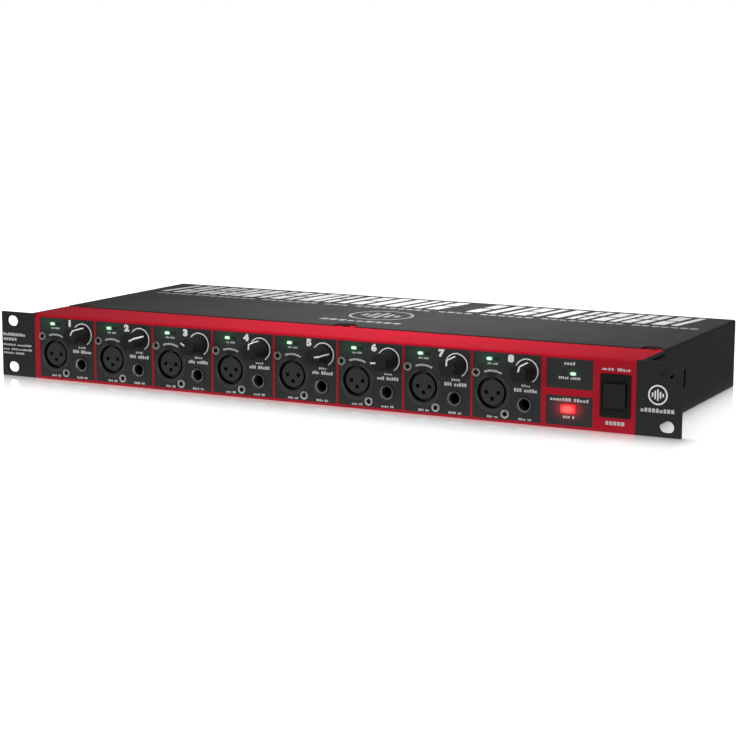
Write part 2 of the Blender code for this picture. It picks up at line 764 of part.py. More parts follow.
def line_outputs():
    """Three-pin male socket: flange behind the rear wall, an open barrel and three pins."""
    flange_back = -REAR_WALL - GAP
    flange_front = flange_back - FLANGE_THICK
    flange = slab(0, 0, FLANGE_WIDTH, FLANGE_HEIGHT, flange_front, flange_back)
    bottom = OUTPUT_RECESS - OUTPUT_PROUD
    barrel_back = bottom + FLANGE_THICK
    barrel = rod((0, -barrel_back, 0), OUTPUT_BARREL, barrel_back + OUTPUT_PROUD, ROUND_LARGE)
    low = BOARD_TOP + GAP - OUTPUT_Z
    body = box((-OUTPUT_HALF, -OUTPUT_BACK, low), (OUTPUT_HALF, flange_front + SHEET, OUTPUT_TOP))
    recess = rod((0, -bottom, 0), OUTPUT_BORE, bottom + BEYOND, ROUND_LARGE)
    socket = bake(fuse([flange, barrel, body], [recess]))
    pins = []
    for x, z in PIN_PLACES:
        pins.append(rod((x, -bottom - SHEET, z), OUTPUT_PIN, bottom + SHEET - OUTPUT_PIN, 8))
    places = [(output_x(index), BACK, OUTPUT_Z) for index in range(CHANNELS)]
    copies(fuse([socket] + pins), "line_output", black_plastic, places)


def mains_inlet():
    """Three-pole mains inlet with a fuse drawer beside the socket."""
    seat = BACK + GAP
    proud = BACK + INLET_PROUD
    plate = slab(INLET_X, INLET_Z, INLET_WIDTH, INLET_HEIGHT, seat, proud, "plate")
    soften(plate, EDGE)
    wide = INLET_WIDTH - 2 * (INLET_LAP + GAP)
    high = INLET_HEIGHT - 2 * (INLET_LAP + GAP)
    body = slab(INLET_X, INLET_Z, wide, high, BACK - INLET_BACK, proud - EDGE)
    shape = keyed_outline(SOCKET_WIDTH / 2, SOCKET_HEIGHT / 2, SOCKET_CORNER, (SOCKET_X, INLET_Z))
    socket = outline(shape, proud - SOCKET_BACK, proud + BEYOND, Y, "socket")
    wide = DRAWER_WIDTH + 2 * GAP
    high = DRAWER_HEIGHT + 2 * GAP
    bay_back = DRAWER_DEPTH + SHEET / 2
    bay = slab(DRAWER_X, INLET_Z, wide, high, BACK - bay_back, proud + BEYOND)
    case = bake(fuse([plate, body], [socket, bay]))
    poles = []
    for x, z in BLADE_PLACES:
        where = (SOCKET_X + x, INLET_Z + z, BLADE_WIDTH, BLADE_HEIGHT)
        poles.append(slab(*where, BACK - SOCKET_BACK, BACK - SHEET, "blade"))
    part(fuse([case] + poles), "mains_inlet", black_plastic)

    marker = axis_marker("fuse_drawer_axis", (DRAWER_X, BACK, INLET_Z))
    tray = slab(0, 0, DRAWER_WIDTH, DRAWER_HEIGHT, -DRAWER_DEPTH, DRAWER_PROUD, "drawer")
    soften(tray, EDGE)
    notch = slab(0, NOTCH_Z, NOTCH_WIDTH, NOTCH_HEIGHT, DRAWER_PROUD / 2, BEYOND, "notch")
    wide = FUSE_WIDTH / 2
    holder = box((-wide, FUSE_FRONT - FUSE_LENGTH, -FAR), (wide, FUSE_FRONT, FUSE_TOP), "fuse_bay")
    part(fuse([tray], [notch, holder]), "fuse_drawer", black_plastic, parent=marker)


def sync_selector():
    """Four-position slide switch behind the rear wall, and its slider."""
    inside = BACK - REAR_WALL - GAP
    body_front = inside - SYNC_BODY_DEPTH
    body = slab(SYNC_SWITCH_X, OUTPUT_Z, SYNC_BODY_WIDTH, SYNC_BODY_HEIGHT, body_front, inside)
    wide = SYNC_TRAVEL + SYNC_SHOE_WIDTH + 2 * SYNC_SPARE
    high = SYNC_SHOE_HEIGHT + 2 * GAP
    channel = slab(SYNC_SWITCH_X, OUTPUT_Z, wide, high, inside - SYNC_CHANNEL_DEPTH, BACK)
    part(fuse([body], [channel]), "sync_switch", zinc)

    start = SYNC_SWITCH_X - SYNC_TRAVEL / 2
    marker = axis_marker("sync_axis", (start, BACK, OUTPUT_Z))
    shoe = slab(0, 0, SYNC_SHOE_WIDTH, SYNC_SHOE_HEIGHT, -SYNC_SHOE_BACK, -SYNC_SHOE_FRONT, "shoe")
    tab_back = (SYNC_SHOE_BACK + SYNC_SHOE_FRONT) / 2
    tab = slab(0, 0, SYNC_TAB_WIDTH, SYNC_TAB_HEIGHT, -tab_back, SYNC_TAB_PROUD, "tab")
    part(fuse([shoe, tab]), "sync_slider", black_plastic, parent=marker)


def word_clock_socket():
    """Bayonet coaxial socket with two lugs, a nut outside and a body inside the rear wall."""
    seat = BACK + GAP
    nut = rod((CLOCK_X, seat, OUTPUT_Z), CLOCK_NUT, CLOCK_NUT_THICK, 6)
    inner = BACK - REAR_WALL - GAP
    barrel_length = CLOCK_LENGTH + BACK - inner + SHEET
    barrel = rod((CLOCK_X, inner - SHEET, OUTPUT_Z), CLOCK_BARREL, barrel_length, ROUND_LARGE)
    body = slab(CLOCK_X, OUTPUT_Z, CLOCK_BODY, CLOCK_BODY, inner - CLOCK_BODY, inner)
    lug_foot = (CLOCK_X, BACK + CLOCK_LUG_OUT, OUTPUT_Z - CLOCK_LUG_SPAN / 2)
    lugs = rod(lug_foot, CLOCK_LUG, CLOCK_LUG_SPAN, 8, Z)
    bore = rod((CLOCK_X, BACK + SHEET, OUTPUT_Z), CLOCK_BORE, FAR, ROUND_LARGE)
    shell = bake(fuse([nut, barrel, body, lugs], [bore]))
    contact = rod((CLOCK_X, BACK, OUTPUT_Z), CLOCK_CONTACT, CLOCK_CONTACT_OUT, 8)
    part(fuse([shell, contact]), "word_clock_socket", nickel)


def optical_sockets():
    """Square optical sockets, each with a keyed opening and its light window at the bottom."""
    back = BACK + OPTICAL_PROUD
    front = BACK - OPTICAL_DEPTH
    bottom = back - OPTICAL_RECESS
    for name, x in (("optical_input", OPTICAL_IN_X), ("optical_output", OPTICAL_OUT_X)):
        body = slab(x, OUTPUT_Z, OPTICAL_WIDTH, OPTICAL_HEIGHT, front, back)
        shape = keyed_outline(OPTICAL_HALF, OPTICAL_HALF, OPTICAL_CORNER, (x, OUTPUT_Z))
        opening = outline(shape, bottom, back + BEYOND, Y, "opening")
        sunk = bottom - OPTICAL_WINDOW_SUNK
        window = rod((x, sunk, OUTPUT_Z), OPTICAL_WINDOW, back - sunk, 8)
        part(fuse([body], [opening, window]), name, black_plastic)


def on_board(centre_x, depth, width, length, height):
    """A component's block on a board, with its feet sunk a little into the board."""
    y = FRONT + depth
    low = (centre_x - width / 2, y - length / 2, BOARD_TOP - SOLDER_SINK)
    return box(low, (centre_x + width / 2, y + length / 2, BOARD_TOP + height), "component")


def can_on_board(x, depth, radius, height, segments=8):
    """A round capacitor, standing on a board."""
    foot = (x, FRONT + depth, BOARD_TOP - SOLDER_SINK)
    return rod(foot, radius, height, segments, Z, "can")


def bare_board(left, right, start, end):
    return box((left, FRONT + start, BOARD_LOW), (right, FRONT + end, BOARD_TOP), "board")


def preamp_board():
    """The front board: eight preamps with their amplifier chips and capacitors, and a cable header."""
    pieces = [bare_board(PREAMP_LEFT, PREAMP_RIGHT, 0.008, 0.096)]
    pieces.append(bare_board(PREAMP_RIGHT - SHEET, 0.186, 0.008, 0.030))
    chip_depth = 0.05125
    can_depth = 0.066
    for index in range(CHANNELS):
        x = channel_x(index)
        pieces.append(on_board(x, chip_depth, 0.010, 0.0065, 0.0028))
        for side in (-0.009, 0.010):
            pieces.append(can_on_board(x + side, can_depth, 0.0040, 0.0115))
    pieces.append(ribbon_header(RIBBON_START))
    part(fuse(pieces), "preamp_board", board_green)


def ribbon_header(y):
    """The pin header that takes one end of the flat cable."""
    middle = (RIBBON_LEFT + RIBBON_RIGHT) / 2
    width = RIBBON_RIGHT - RIBBON_LEFT + 2 * SHEET
    return on_board(middle, y - FRONT, width, 0.006, HEADER_HEIGHT)


def control_board():
    """The upright strip that carries the lamps behind the panel's upper edge."""
    strip = box((-0.210, FRONT + 0.013, 0.0308), (0.190, FRONT + 0.0146, 0.0413), "strip")
    part(strip, "control_board", board_green)


def converter_board():
    """The rear board: converters, a processor and a filter for each line output."""
    pieces = [bare_board(PREAMP_LEFT, PREAMP_RIGHT, 0.104, 0.187)]
    pieces.append(ribbon_header(RIBBON_END))
    # Each chip is (x, depth, width, length, height).
    processor = (0.071, 0.133, 0.022, 0.022, 0.0018)
    first_converter = (0.025, 0.133, 0.010, 0.010, 0.0014)
    second_converter = (-0.085, 0.133, 0.010, 0.010, 0.0014)
    crystal = (0.100, 0.1265, 0.012, 0.005, 0.0036)
    for chip in (processor, first_converter, second_converter, crystal):
        pieces.append(on_board(*chip))
    for index in range(CHANNELS):
        x = output_x(index)
        pieces.append(on_board(x, 0.1525, 0.006, 0.005, 0.0018))
        pieces.append(can_on_board(x + 0.009, 0.150, 0.0032, 0.0085))
    part(fuse(pieces), "converter_board", board_green)


def power_supply_board():
    """The supply: a lying reservoir capacitor, a heat sink with five fins, and two output capacitors."""
    pieces = [bare_board(SUPPLY_LEFT, SUPPLY_RIGHT, 0.034, 0.160)]
    reservoir_radius = 0.0112
    reservoir_foot = (0.172, FRONT + 0.060, BOARD_TOP + reservoir_radius - GAP)
    pieces.append(rod(reservoir_foot, reservoir_radius, 0.032, 16))
    fins = 5
    fin_pitch = 0.006
    fin_thick = 0.0014
    fin_length = 0.016
    fin_height = 0.0254
    first_fin = 0.1107
    for fin in range(fins):
        depth = first_fin + fin * fin_pitch
        pieces.append(on_board(0.168, depth, fin_length, fin_thick, fin_height))
    span = (fins - 1) * fin_pitch
    pieces.append(on_board(0.16075, first_fin + span / 2, 0.0015, span + fin_thick, fin_height))
    for x in (0.200, 0.186):
        pieces.append(can_on_board(x, 0.142, 0.0062, 0.020, ROUND_SMALL))
    part(fuse(pieces), "power_supply_board", board_green)


def transformer():
    """Ferrite core with its winding, standing on the supply board."""
    low = BOARD_TOP + GAP
    x = 0.196
    core_half = 0.012
    core_height = 0.022
    front = FRONT + 0.111
    back = FRONT + 0.124
    core = box((x - core_half, front, low), (x + core_half, back, low + core_height), "core")
    margin = 0.004
    middle = (front + back) / 2
    height = core_height - 2 * margin
    winding = rod((x, middle, low + margin), core_half - SHEET / 2, height, 16, Z, "winding")
    part(fuse([core, winding]), "transformer", ferrite)


def ribbon_cable():
    """Flat cable that arches from the preamp board to the converter board."""
    middle = (RIBBON_START + RIBBON_END) / 2
    reach = (RIBBON_END - RIBBON_START) / 2
    foot = BOARD_TOP + HEADER_HEIGHT + GAP
    half = SHEET / 2
    centre = (middle, foot + HEADER_HEIGHT)
    outer = arc(centre, reach + half, 0, 180, 10)
    inner = arc(centre, reach - half, 180, 0, 10)
    pieces = [outline(outer + inner, RIBBON_LEFT, RIBBON_RIGHT, X, "strap")]
    clip_half = 0.0022
    clip_height = 0.005
    for y in (RIBBON_START, RIBBON_END):
        low = (RIBBON_LEFT, y - clip_half, foot)
        pieces.append(box(low, (RIBBON_RIGHT, y + clip_half, foot + clip_height), "clip"))
    part(fuse(pieces), "ribbon_cable", cable_grey)


clear_scene()
parts = collection("audio_interface")
cutters = collection("cutters")

red_paint = material("red_paint", (0.53, 0.022, 0.045), 0.42)
grey_steel = material("grey_steel", (0.045, 0.045, 0.046), 0.55)
black_plastic = material("black_plastic", (0.016, 0.016, 0.017), 0.45)
knob_plastic = material("knob_plastic", (0.020, 0.020, 0.021), 0.40)
red_lens = material("red_lens", (0.85, 0.06, 0.05), 0.25)
zinc = material("zinc", (0.55, 0.55, 0.54), 0.40, 1.0)
nickel = material("nickel", (0.66, 0.64, 0.60), 0.28, 1.0)
board_green = material("board_green", (0.02, 0.10, 0.05), 0.50)
ferrite = material("ferrite", (0.05, 0.05, 0.05), 0.70)
cable_grey = material("cable_grey", (0.42, 0.42, 0.44), 0.60)

front_panel()
base_tray()
top_cover()
mic_inputs()
line_inputs()
gain_pots()
gain_knobs()
power_switch()
phantom_switch()
line_outputs()
mains_inlet()
sync_selector()
word_clock_socket()
optical_sockets()
preamp_board()
control_board()
converter_board()
power_supply_board()
transformer()
ribbon_cable()
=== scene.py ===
"""Looks of the eight-channel audio interface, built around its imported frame.

+X is the operator's right, -Y the front and +Z up, as in the frame. Sizes and places are in
millimetres, and what hands them to Blender turns them into metres with MM. Only the lamps and the
camera of the stage are placed in metres.
"""

import json
from math import cos, pi, radians, sin, sqrt, tau
from random import Random

import bmesh
import bpy
from mathutils import Matrix, Vector


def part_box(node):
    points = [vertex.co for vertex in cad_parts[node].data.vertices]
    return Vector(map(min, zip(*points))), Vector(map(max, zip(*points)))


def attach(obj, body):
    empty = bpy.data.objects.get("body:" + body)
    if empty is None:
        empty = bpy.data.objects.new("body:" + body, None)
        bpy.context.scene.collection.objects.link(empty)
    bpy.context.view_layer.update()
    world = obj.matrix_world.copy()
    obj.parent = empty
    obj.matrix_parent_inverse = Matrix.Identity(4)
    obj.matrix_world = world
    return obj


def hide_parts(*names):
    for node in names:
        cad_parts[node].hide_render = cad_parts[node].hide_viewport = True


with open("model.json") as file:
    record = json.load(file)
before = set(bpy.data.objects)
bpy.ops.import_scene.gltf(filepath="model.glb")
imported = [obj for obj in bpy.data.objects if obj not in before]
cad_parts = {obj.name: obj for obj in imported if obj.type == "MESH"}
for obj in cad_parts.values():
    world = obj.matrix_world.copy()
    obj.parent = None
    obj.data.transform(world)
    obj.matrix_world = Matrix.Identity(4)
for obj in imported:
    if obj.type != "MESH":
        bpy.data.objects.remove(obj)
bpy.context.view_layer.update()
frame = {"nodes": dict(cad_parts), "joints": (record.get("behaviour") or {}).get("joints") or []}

NODES = frame["nodes"]
MM = 0.001
MERGE_DISTANCE = 0.001
WELD_DISTANCE = 0.002
SHARP_ANGLE = radians(35)


def corners(node):
    """The low and high corner of a node's box."""
    low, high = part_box(node)
    return low / MM, high / MM


def middle(node):
    low, high = corners(node)
    return (low + high) / 2


CHANNELS = 8
JACK_Z = 11.7
PAINT_MARGIN = 0.2

# Places read from the frame.
EAR_END = corners("front_panel")[1].x
FACE = corners("front_panel")[0].y
PANEL_TOP = corners("front_panel")[1].z
REAR = corners("base_tray")[1].y
LID = corners("top_cover")[1].z
SIDE_WALL = corners("top_cover")[1].x - PAINT_MARGIN
MICS = [middle(f"mic_input_{n + 1}") for n in range(CHANNELS)]
JACKS = [Vector((middle(f"line_input_{n + 1}").x, 0, JACK_Z)) for n in range(CHANNELS)]
OUTPUTS = [middle(f"line_output_{n + 1}") for n in range(CHANNELS)]
KNOBS = [Vector(joint["pos_m"]) / MM for joint in frame["joints"] if joint["type"] == "hinge"]
PITCH = MICS[1].x - MICS[0].x
PHANTOM = middle("phantom_button")
INLET = middle("mains_inlet")
CLOCK = middle("word_clock_socket")
SELECTOR = middle("sync_switch")
OPTICAL_IN = middle("optical_input")
OPTICAL_OUT = middle("optical_output")

# Three-pin sockets, front and rear. Those in front have more sides here than in the frame.
MIC_HOLE = 11.6
MIC_LIP = 12.1
MIC_BORE = 9.5
MIC_INSERT = 7.75
MIC_DEPTH = 12.0
PIN_CIRCLE = 3.9
PIN_HOLE = 1.35
PINS = ((-PIN_CIRCLE, 0.0), (PIN_CIRCLE, 0.0), (0.0, -PIN_CIRCLE))

# Jack sockets and knobs.
JACK_RING = 5.4
JACK_BORE = 3.3
KNOB_FRONT = 15.0
KNOB_FOOT = 6.05
POINTER_ANGLES = (60, 28, 150, 83, 10, 183, 86, 72)

# The well of the power switch.
WELL_WIDTH = 15.32
WELL_HEIGHT = 17.52
WELL_Z = 22.25

# Lamps. The first two places are across from the microphone input, the last is (across, up).
LAMP_Z = 38.1
SIGNAL_FROM_MIC = -1.85
OVERLOAD_FROM_MIC = 2.9
CLOCK_LAMP = (174.8, 32.9)
LAMP_SIZE = (3.55, 1.95)
LAMP_HOLE = (3.75, 2.15)
LAMP_CORNER = 0.5
LENS_SIZE = (9.0, 5.0)
LENS_HOLE = (9.4, 5.4)
LENS_CORNER = 0.8

# Fields printed on the front.
PAINT_HALF = 213.6
FLANGE_HALF = 215.9
FIELD_WIDTH = 44.35
FIELD_LOW = 1.6
FIELD_HIGH = 42.1
FIELD_FROM_MIC = 9.4
RIGHT_FIELD = 172.6
RIGHT_FIELD_SIZE = (29.4, 17.9)
CLOCK_FIELD_Z = 32.7
PHANTOM_FIELD_Z = 10.65
INK = 0.05

# Lines of dashes in place of words: (across, up, width, height, dashes in each word, seed).
CHANNEL_WORDS = (
    (0.4, 35.2, 6.8, 1.1, (3, 4), 0),
    (21.9, 23.3, 5.8, 1.3, (4,), 0),
    (21.7, 20.5, 15.0, 2.1, (3, 5), 9),
    (0.5, 2.95, 7.4, 1.35, (3, 2), 0),
    (21.5, 2.95, 8.6, 1.35, (4, 2), 0),
)
FIELD_WORDS = (
    (172.5, 39.0, 7.2, 2.0, (4,), 3),
    (172.5, 30.2, 13.8, 1.5, (5, 5), 4),
    (172.7, 17.2, 24.6, 1.9, (7, 5), 5),
    (172.5, 6.8, 7.4, 1.5, (3, 1), 6),
)
POWER_WORDS = (
    (198.2, 37.4, 3.8, 1.5, (2,), 7),
    (207.7, 37.4, 4.8, 1.5, (3,), 8),
    (201.2, 5.6, 12.0, 2.3, (5,), 9),
)
NAME_WORDS = (226.8, 15.4, 20.6, 2.4, (9,), 12)
EAR_BADGE = (226.9, 24.6)
LID_WORDS = (
    (3.0, FACE + 134.5, 412.0, 5.0, (13, 7, 3, 9, 4, 6, 9, 7), 14),
    (0.0, FACE + 67.0, 60.0, 6.0, (9,), 15),
)

# The two marks beside the power words, for pressed and released: (across, up, width, height).
POWER_MARKS = ((194.2, 37.3, 3.0, 1.0), (203.6, 37.5, 2.9, 1.7))

# Lines on the left ear: (up, where it ends, height, dashes in each word). All start at EAR_WORDS.
EAR_WORDS = -240.5
EAR_LINES = (
    (28.5, -222.0, 2.0, (9,)),
    (25.2, -229.0, 1.9, (5,)),
    (21.4, -217.0, 1.3, (7, 8)),
    (18.4, -216.5, 1.3, (3, 10)),
    (15.7, -223.0, 1.3, (6, 5)),
)


# ---- shader helpers


def node(tree, kind, inputs=None, **settings):
    """A new shader node. Each input is a value or another node's output."""
    made = tree.nodes.new(kind)
    for key, value in settings.items():
        setattr(made, key, value)
    for key, value in (inputs or {}).items():
        if isinstance(value, bpy.types.NodeSocket):
            tree.links.new(value, made.inputs[key])
        else:
            made.inputs[key].default_value = value
    return made


def maths(tree, operation, first, second=0.0, third=0.0):
    return node(tree, "ShaderNodeMath", {0: first, 1: second, 2: third}, operation=operation).outputs[0]


def times(tree, first, second):
    return maths(tree, "MULTIPLY", first, second)


def noise(tree, scale, detail=3.0):
    """Noise in the object's own metres, from 0 to 1."""
    place = node(tree, "ShaderNodeTexCoord").outputs["Object"]
    made = node(tree, "ShaderNodeTexNoise", {"Vector": place, "Scale": scale, "Detail": detail})
    return made.outputs["Fac"]


def ramp(tree, value, low, high, out_low=0.0, out_high=1.0):
    inputs = {"Value": value, "From Min": low, "From Max": high, "To Min": out_low, "To Max": out_high}
    return node(tree, "ShaderNodeMapRange", inputs, clamp=True).outputs[0]


def mix(tree, factor, first, second):
    """Blends two colours, each a value or another node's output."""
    made = node(tree, "ShaderNodeMix", data_type="RGBA", blend_type="MIX")
    for key, value in (("Factor", factor), ("A", first), ("B", second)):
        kind = "VALUE" if key == "Factor" else "RGBA"
        socket = [s for s in made.inputs if s.name == key and s.type == kind][0]
        if isinstance(value, bpy.types.NodeSocket):
            tree.links.new(value, socket)
        else:
            socket.default_value = value if key == "Factor" else (*value, 1.0)
    return [s for s in made.outputs if s.type == "RGBA"][0]


def object_axes(tree):
    """The object's own x, y and z, in metres."""
    place = node(tree, "ShaderNodeTexCoord").outputs["Object"]
    return node(tree, "ShaderNodeSeparateXYZ", {0: place}).outputs


def beyond(tree, value, limit):
    """1 where a value lies further from 0 than a limit in millimetres."""
    return maths(tree, "GREATER_THAN", maths(tree, "ABSOLUTE", value), limit * MM)


def edge_mask(tree, radius):
    """1 along convex edges and 0 on flats, from how far a rounded normal leans from the true one."""
    flat = 0.995
    sharp = 0.86
    rounded = node(tree, "ShaderNodeBevel", {"Radius": radius * MM}, samples=4).outputs[0]
    true = node(tree, "ShaderNodeNewGeometry").outputs["Normal"]
    dot = node(tree, "ShaderNodeVectorMath", {0: rounded, 1: true}, operation="DOT_PRODUCT")
    return ramp(tree, dot.outputs["Value"], flat, sharp)


def worn(tree, base, colour, wear):
    """Scuffs the edges of a base colour, paler than the colour itself."""
    edges = edge_mask(tree, 0.4)
    patches = ramp(tree, noise(tree, scale=420.0), 0.45, 0.62)
    pale = tuple(min(1.0, part * 1.6 + 0.06) for part in colour)
    amount = times(tree, times(tree, edges, patches), wear)
    return mix(tree, amount, base, pale)


def finish(name, slot, colour, roughness, metallic=0.0, specular=0.5, mottle=0.14, grain=900.0, bump=0.05,
           wear=0.0):
    """A finish with mottled colour and roughness, a grained surface and, if asked, worn edges."""
    made = bpy.data.materials.new(name)
    made.use_nodes = True
    tree = made.node_tree
    shader = tree.nodes["Principled BSDF"]
    shader.inputs["Metallic"].default_value = metallic
    shader.inputs["Specular IOR Level"].default_value = specular
    cloud = noise(tree, scale=60.0)
    dark = tuple(part * (1 - mottle) for part in colour)
    light = tuple(min(1.0, part * (1 + mottle)) for part in colour)
    base = mix(tree, ramp(tree, cloud, 0.3, 0.7), dark, light)
    if wear:
        base = worn(tree, base, colour, wear)
    tree.links.new(base, shader.inputs["Base Color"])
    swing = 0.1
    rough = maths(tree, "ADD", roughness - swing / 2, times(tree, cloud, swing))
    tree.links.new(rough, shader.inputs["Roughness"])
    speck = noise(tree, grain, detail=2.0)
    raised = node(tree, "ShaderNodeBump", {"Strength": bump, "Distance": 0.1 * MM, "Height": speck})
    tree.links.new(raised.outputs[0], shader.inputs["Normal"])
    made["slot"] = slot
    return made


def repaint(material, mask, colour):
    """Lays a second colour over a finish where the mask is 1."""
    tree = material.node_tree
    base = tree.nodes["Principled BSDF"].inputs["Base Color"]
    first = base.links[0].from_socket
    tree.links.new(mix(tree, mask, first, colour), base)


def shine(material, colour, strength=1.0):
    """Makes a finish give off light of a colour worked out by its nodes."""
    shader = material.node_tree.nodes["Principled BSDF"]
    material.node_tree.links.new(colour, shader.inputs["Emission Color"])
    shader.inputs["Emission Strength"].default_value = strength


def oval(tree, x, z, spread):
    """0 at the centre of an oval and 1 at its spread, growing with the square of the distance."""
    parts = []
    for value, size in ((x, spread[0]), (z, spread[1])):
        parts.append(maths(tree, "POWER", maths(tree, "DIVIDE", value, size * MM), 2.0))
    return maths(tree, "ADD", *parts)


# ---- materials


def panel_paint():
    """Red powder coat with black ears, where the face runs past the case."""
    made = finish("panel_paint", "front_panel_paint", (0.40, 0.0075, 0.020), 0.48, specular=0.16,
                  mottle=0.05, grain=1500.0, bump=0.10, wear=0.15)
    black = (0.0255, 0.0255, 0.026)
    panel_back = FACE + 2.05
    tree = made.node_tree
    x, y, _ = object_axes(tree)
    on_face = maths(tree, "LESS_THAN", y, panel_back * MM)
    repaint(made, times(tree, beyond(tree, x, PAINT_HALF), on_face), black)
    repaint(made, beyond(tree, x, FLANGE_HALF), black)
    return made


def case_paint():
    """Satin grey powder coat, with painted shade on each side wall in the corner by its ear."""
    made = finish("case_paint", "case_paint", (0.044, 0.044, 0.045), 0.62, specular=0.16,
                  mottle=0.07, grain=1300.0, bump=0.16, wear=0.3)
    # Painted shade in the corner behind each ear: the side walls are darkened there, more towards the front.
    painted_shade = (0.006, 0.006, 0.006)
    shade_start = (FACE + 48.0) * MM
    shade_full = (FACE + 30.0) * MM
    tree = made.node_tree
    x, y, _ = object_axes(tree)
    near = ramp(tree, y, shade_start, shade_full, 0.0, 0.6)
    repaint(made, times(tree, beyond(tree, x, SIDE_WALL), near), painted_shade)
    return made


def halo(tree, axes, centre, spread, period=None):
    """Light spilt on the face round a lamp, falling off smoothly with distance."""
    x = maths(tree, "SUBTRACT", axes[0], centre[0] * MM)
    if period:
        x = maths(tree, "WRAP", x, period / 2 * MM, -period / 2 * MM)
    z = maths(tree, "SUBTRACT", axes[2], centre[1] * MM)
    return maths(tree, "EXPONENT", times(tree, oval(tree, x, z, spread), -1.0))


def field_ink():
    """Satin black print of the front fields, with the lamps' light spilt on it."""
    made = finish("field_ink", "front_panel_paint", (0.026, 0.0265, 0.027), 0.5, specular=0.3,
                  mottle=0.10, grain=1500.0, bump=0.08)
    green_light = (0.001, 0.034, 0.011)
    red_light = (0.46, 0.014, 0.016)
    signal = (MICS[0].x + SIGNAL_FROM_MIC, LAMP_Z)
    tree = made.node_tree
    axes = object_axes(tree)
    left = maths(tree, "LESS_THAN", axes[0], (MICS[-1].x + PITCH / 2) * MM)
    right = maths(tree, "SUBTRACT", 1.0, left)
    signals = times(tree, halo(tree, axes, signal, (7.5, 3.8), PITCH), left)
    clock = times(tree, halo(tree, axes, CLOCK_LAMP, (3.2, 2.2)), right)
    phantom = halo(tree, axes, (PHANTOM.x, PHANTOM.z), (6.6, 4.4))
    glow = mix(tree, maths(tree, "ADD", signals, clock), (0, 0, 0), green_light)
    shine(made, mix(tree, phantom, glow, red_light))
    return made


def lamp(name, core, rim, spread):
    """A lit lens: bright in the middle, deeper in colour towards its rim."""
    made = finish(name, "lens", rim, 0.25, mottle=0.05, bump=0.02)
    tree = made.node_tree
    x, _, z = object_axes(tree)
    away = ramp(tree, oval(tree, x, z, spread), 0.25, 1.1)
    shine(made, mix(tree, away, core, rim))
    return made


def board_green():
    """Green solder mask over copper tracks, with a speckle of pads."""
    made = finish("board_green", "circuit_board", (0.012, 0.075, 0.035), 0.38, mottle=0.25, grain=500.0)
    track_colour = (0.03, 0.16, 0.07)
    pad_colour = (0.5, 0.48, 0.44)
    tree = made.node_tree
    place = node(tree, "ShaderNodeTexCoord").outputs["Object"]
    tracks = node(tree, "ShaderNodeTexVoronoi", {"Vector": place, "Scale": 260.0},
                  feature="DISTANCE_TO_EDGE", distance="CHEBYCHEV").outputs["Distance"]
    repaint(made, ramp(tree, tracks, 0.07, 0.05), track_colour)
    pads = node(tree, "ShaderNodeTexVoronoi", {"Vector": place, "Scale": 420.0}).outputs["Distance"]
    repaint(made, ramp(tree, pads, 0.16, 0.13), pad_colour)
    return made


def cable_grey():
    """Flat cable: one grey ribbed wire beside another, with painted shade in the grooves between them."""
    made = finish("cable_grey", "ribbon", (0.30, 0.30, 0.32), 0.6, mottle=0.1)
    groove_shade = (0.10, 0.10, 0.11)
    wire_pitch = 1.27
    tree = made.node_tree
    x = object_axes(tree)[0]
    # Painted shade: a dark stripe along each groove between two wires.
    wires = maths(tree, "SINE", times(tree, x, tau / (wire_pitch * MM)))
    repaint(made, ramp(tree, wires, -0.6, -0.95), groove_shade)
    return made


def ink(name, slot, grey, specular=0.3, mottle=0.06):
    return finish(name, slot, (grey,) * 3, 0.6, specular=specular, mottle=mottle, grain=1800.0, bump=0.05)


def plastic(name, colour, roughness, slot="connector_plastic", **more):
    return finish(name, slot, colour, roughness, mottle=0.10, grain=1100.0, bump=0.06, **more)


def metal(name, colour, roughness, slot="nickel"):
    return finish(name, slot, colour, roughness, metallic=1.0, mottle=0.10, grain=700.0, bump=0.03)


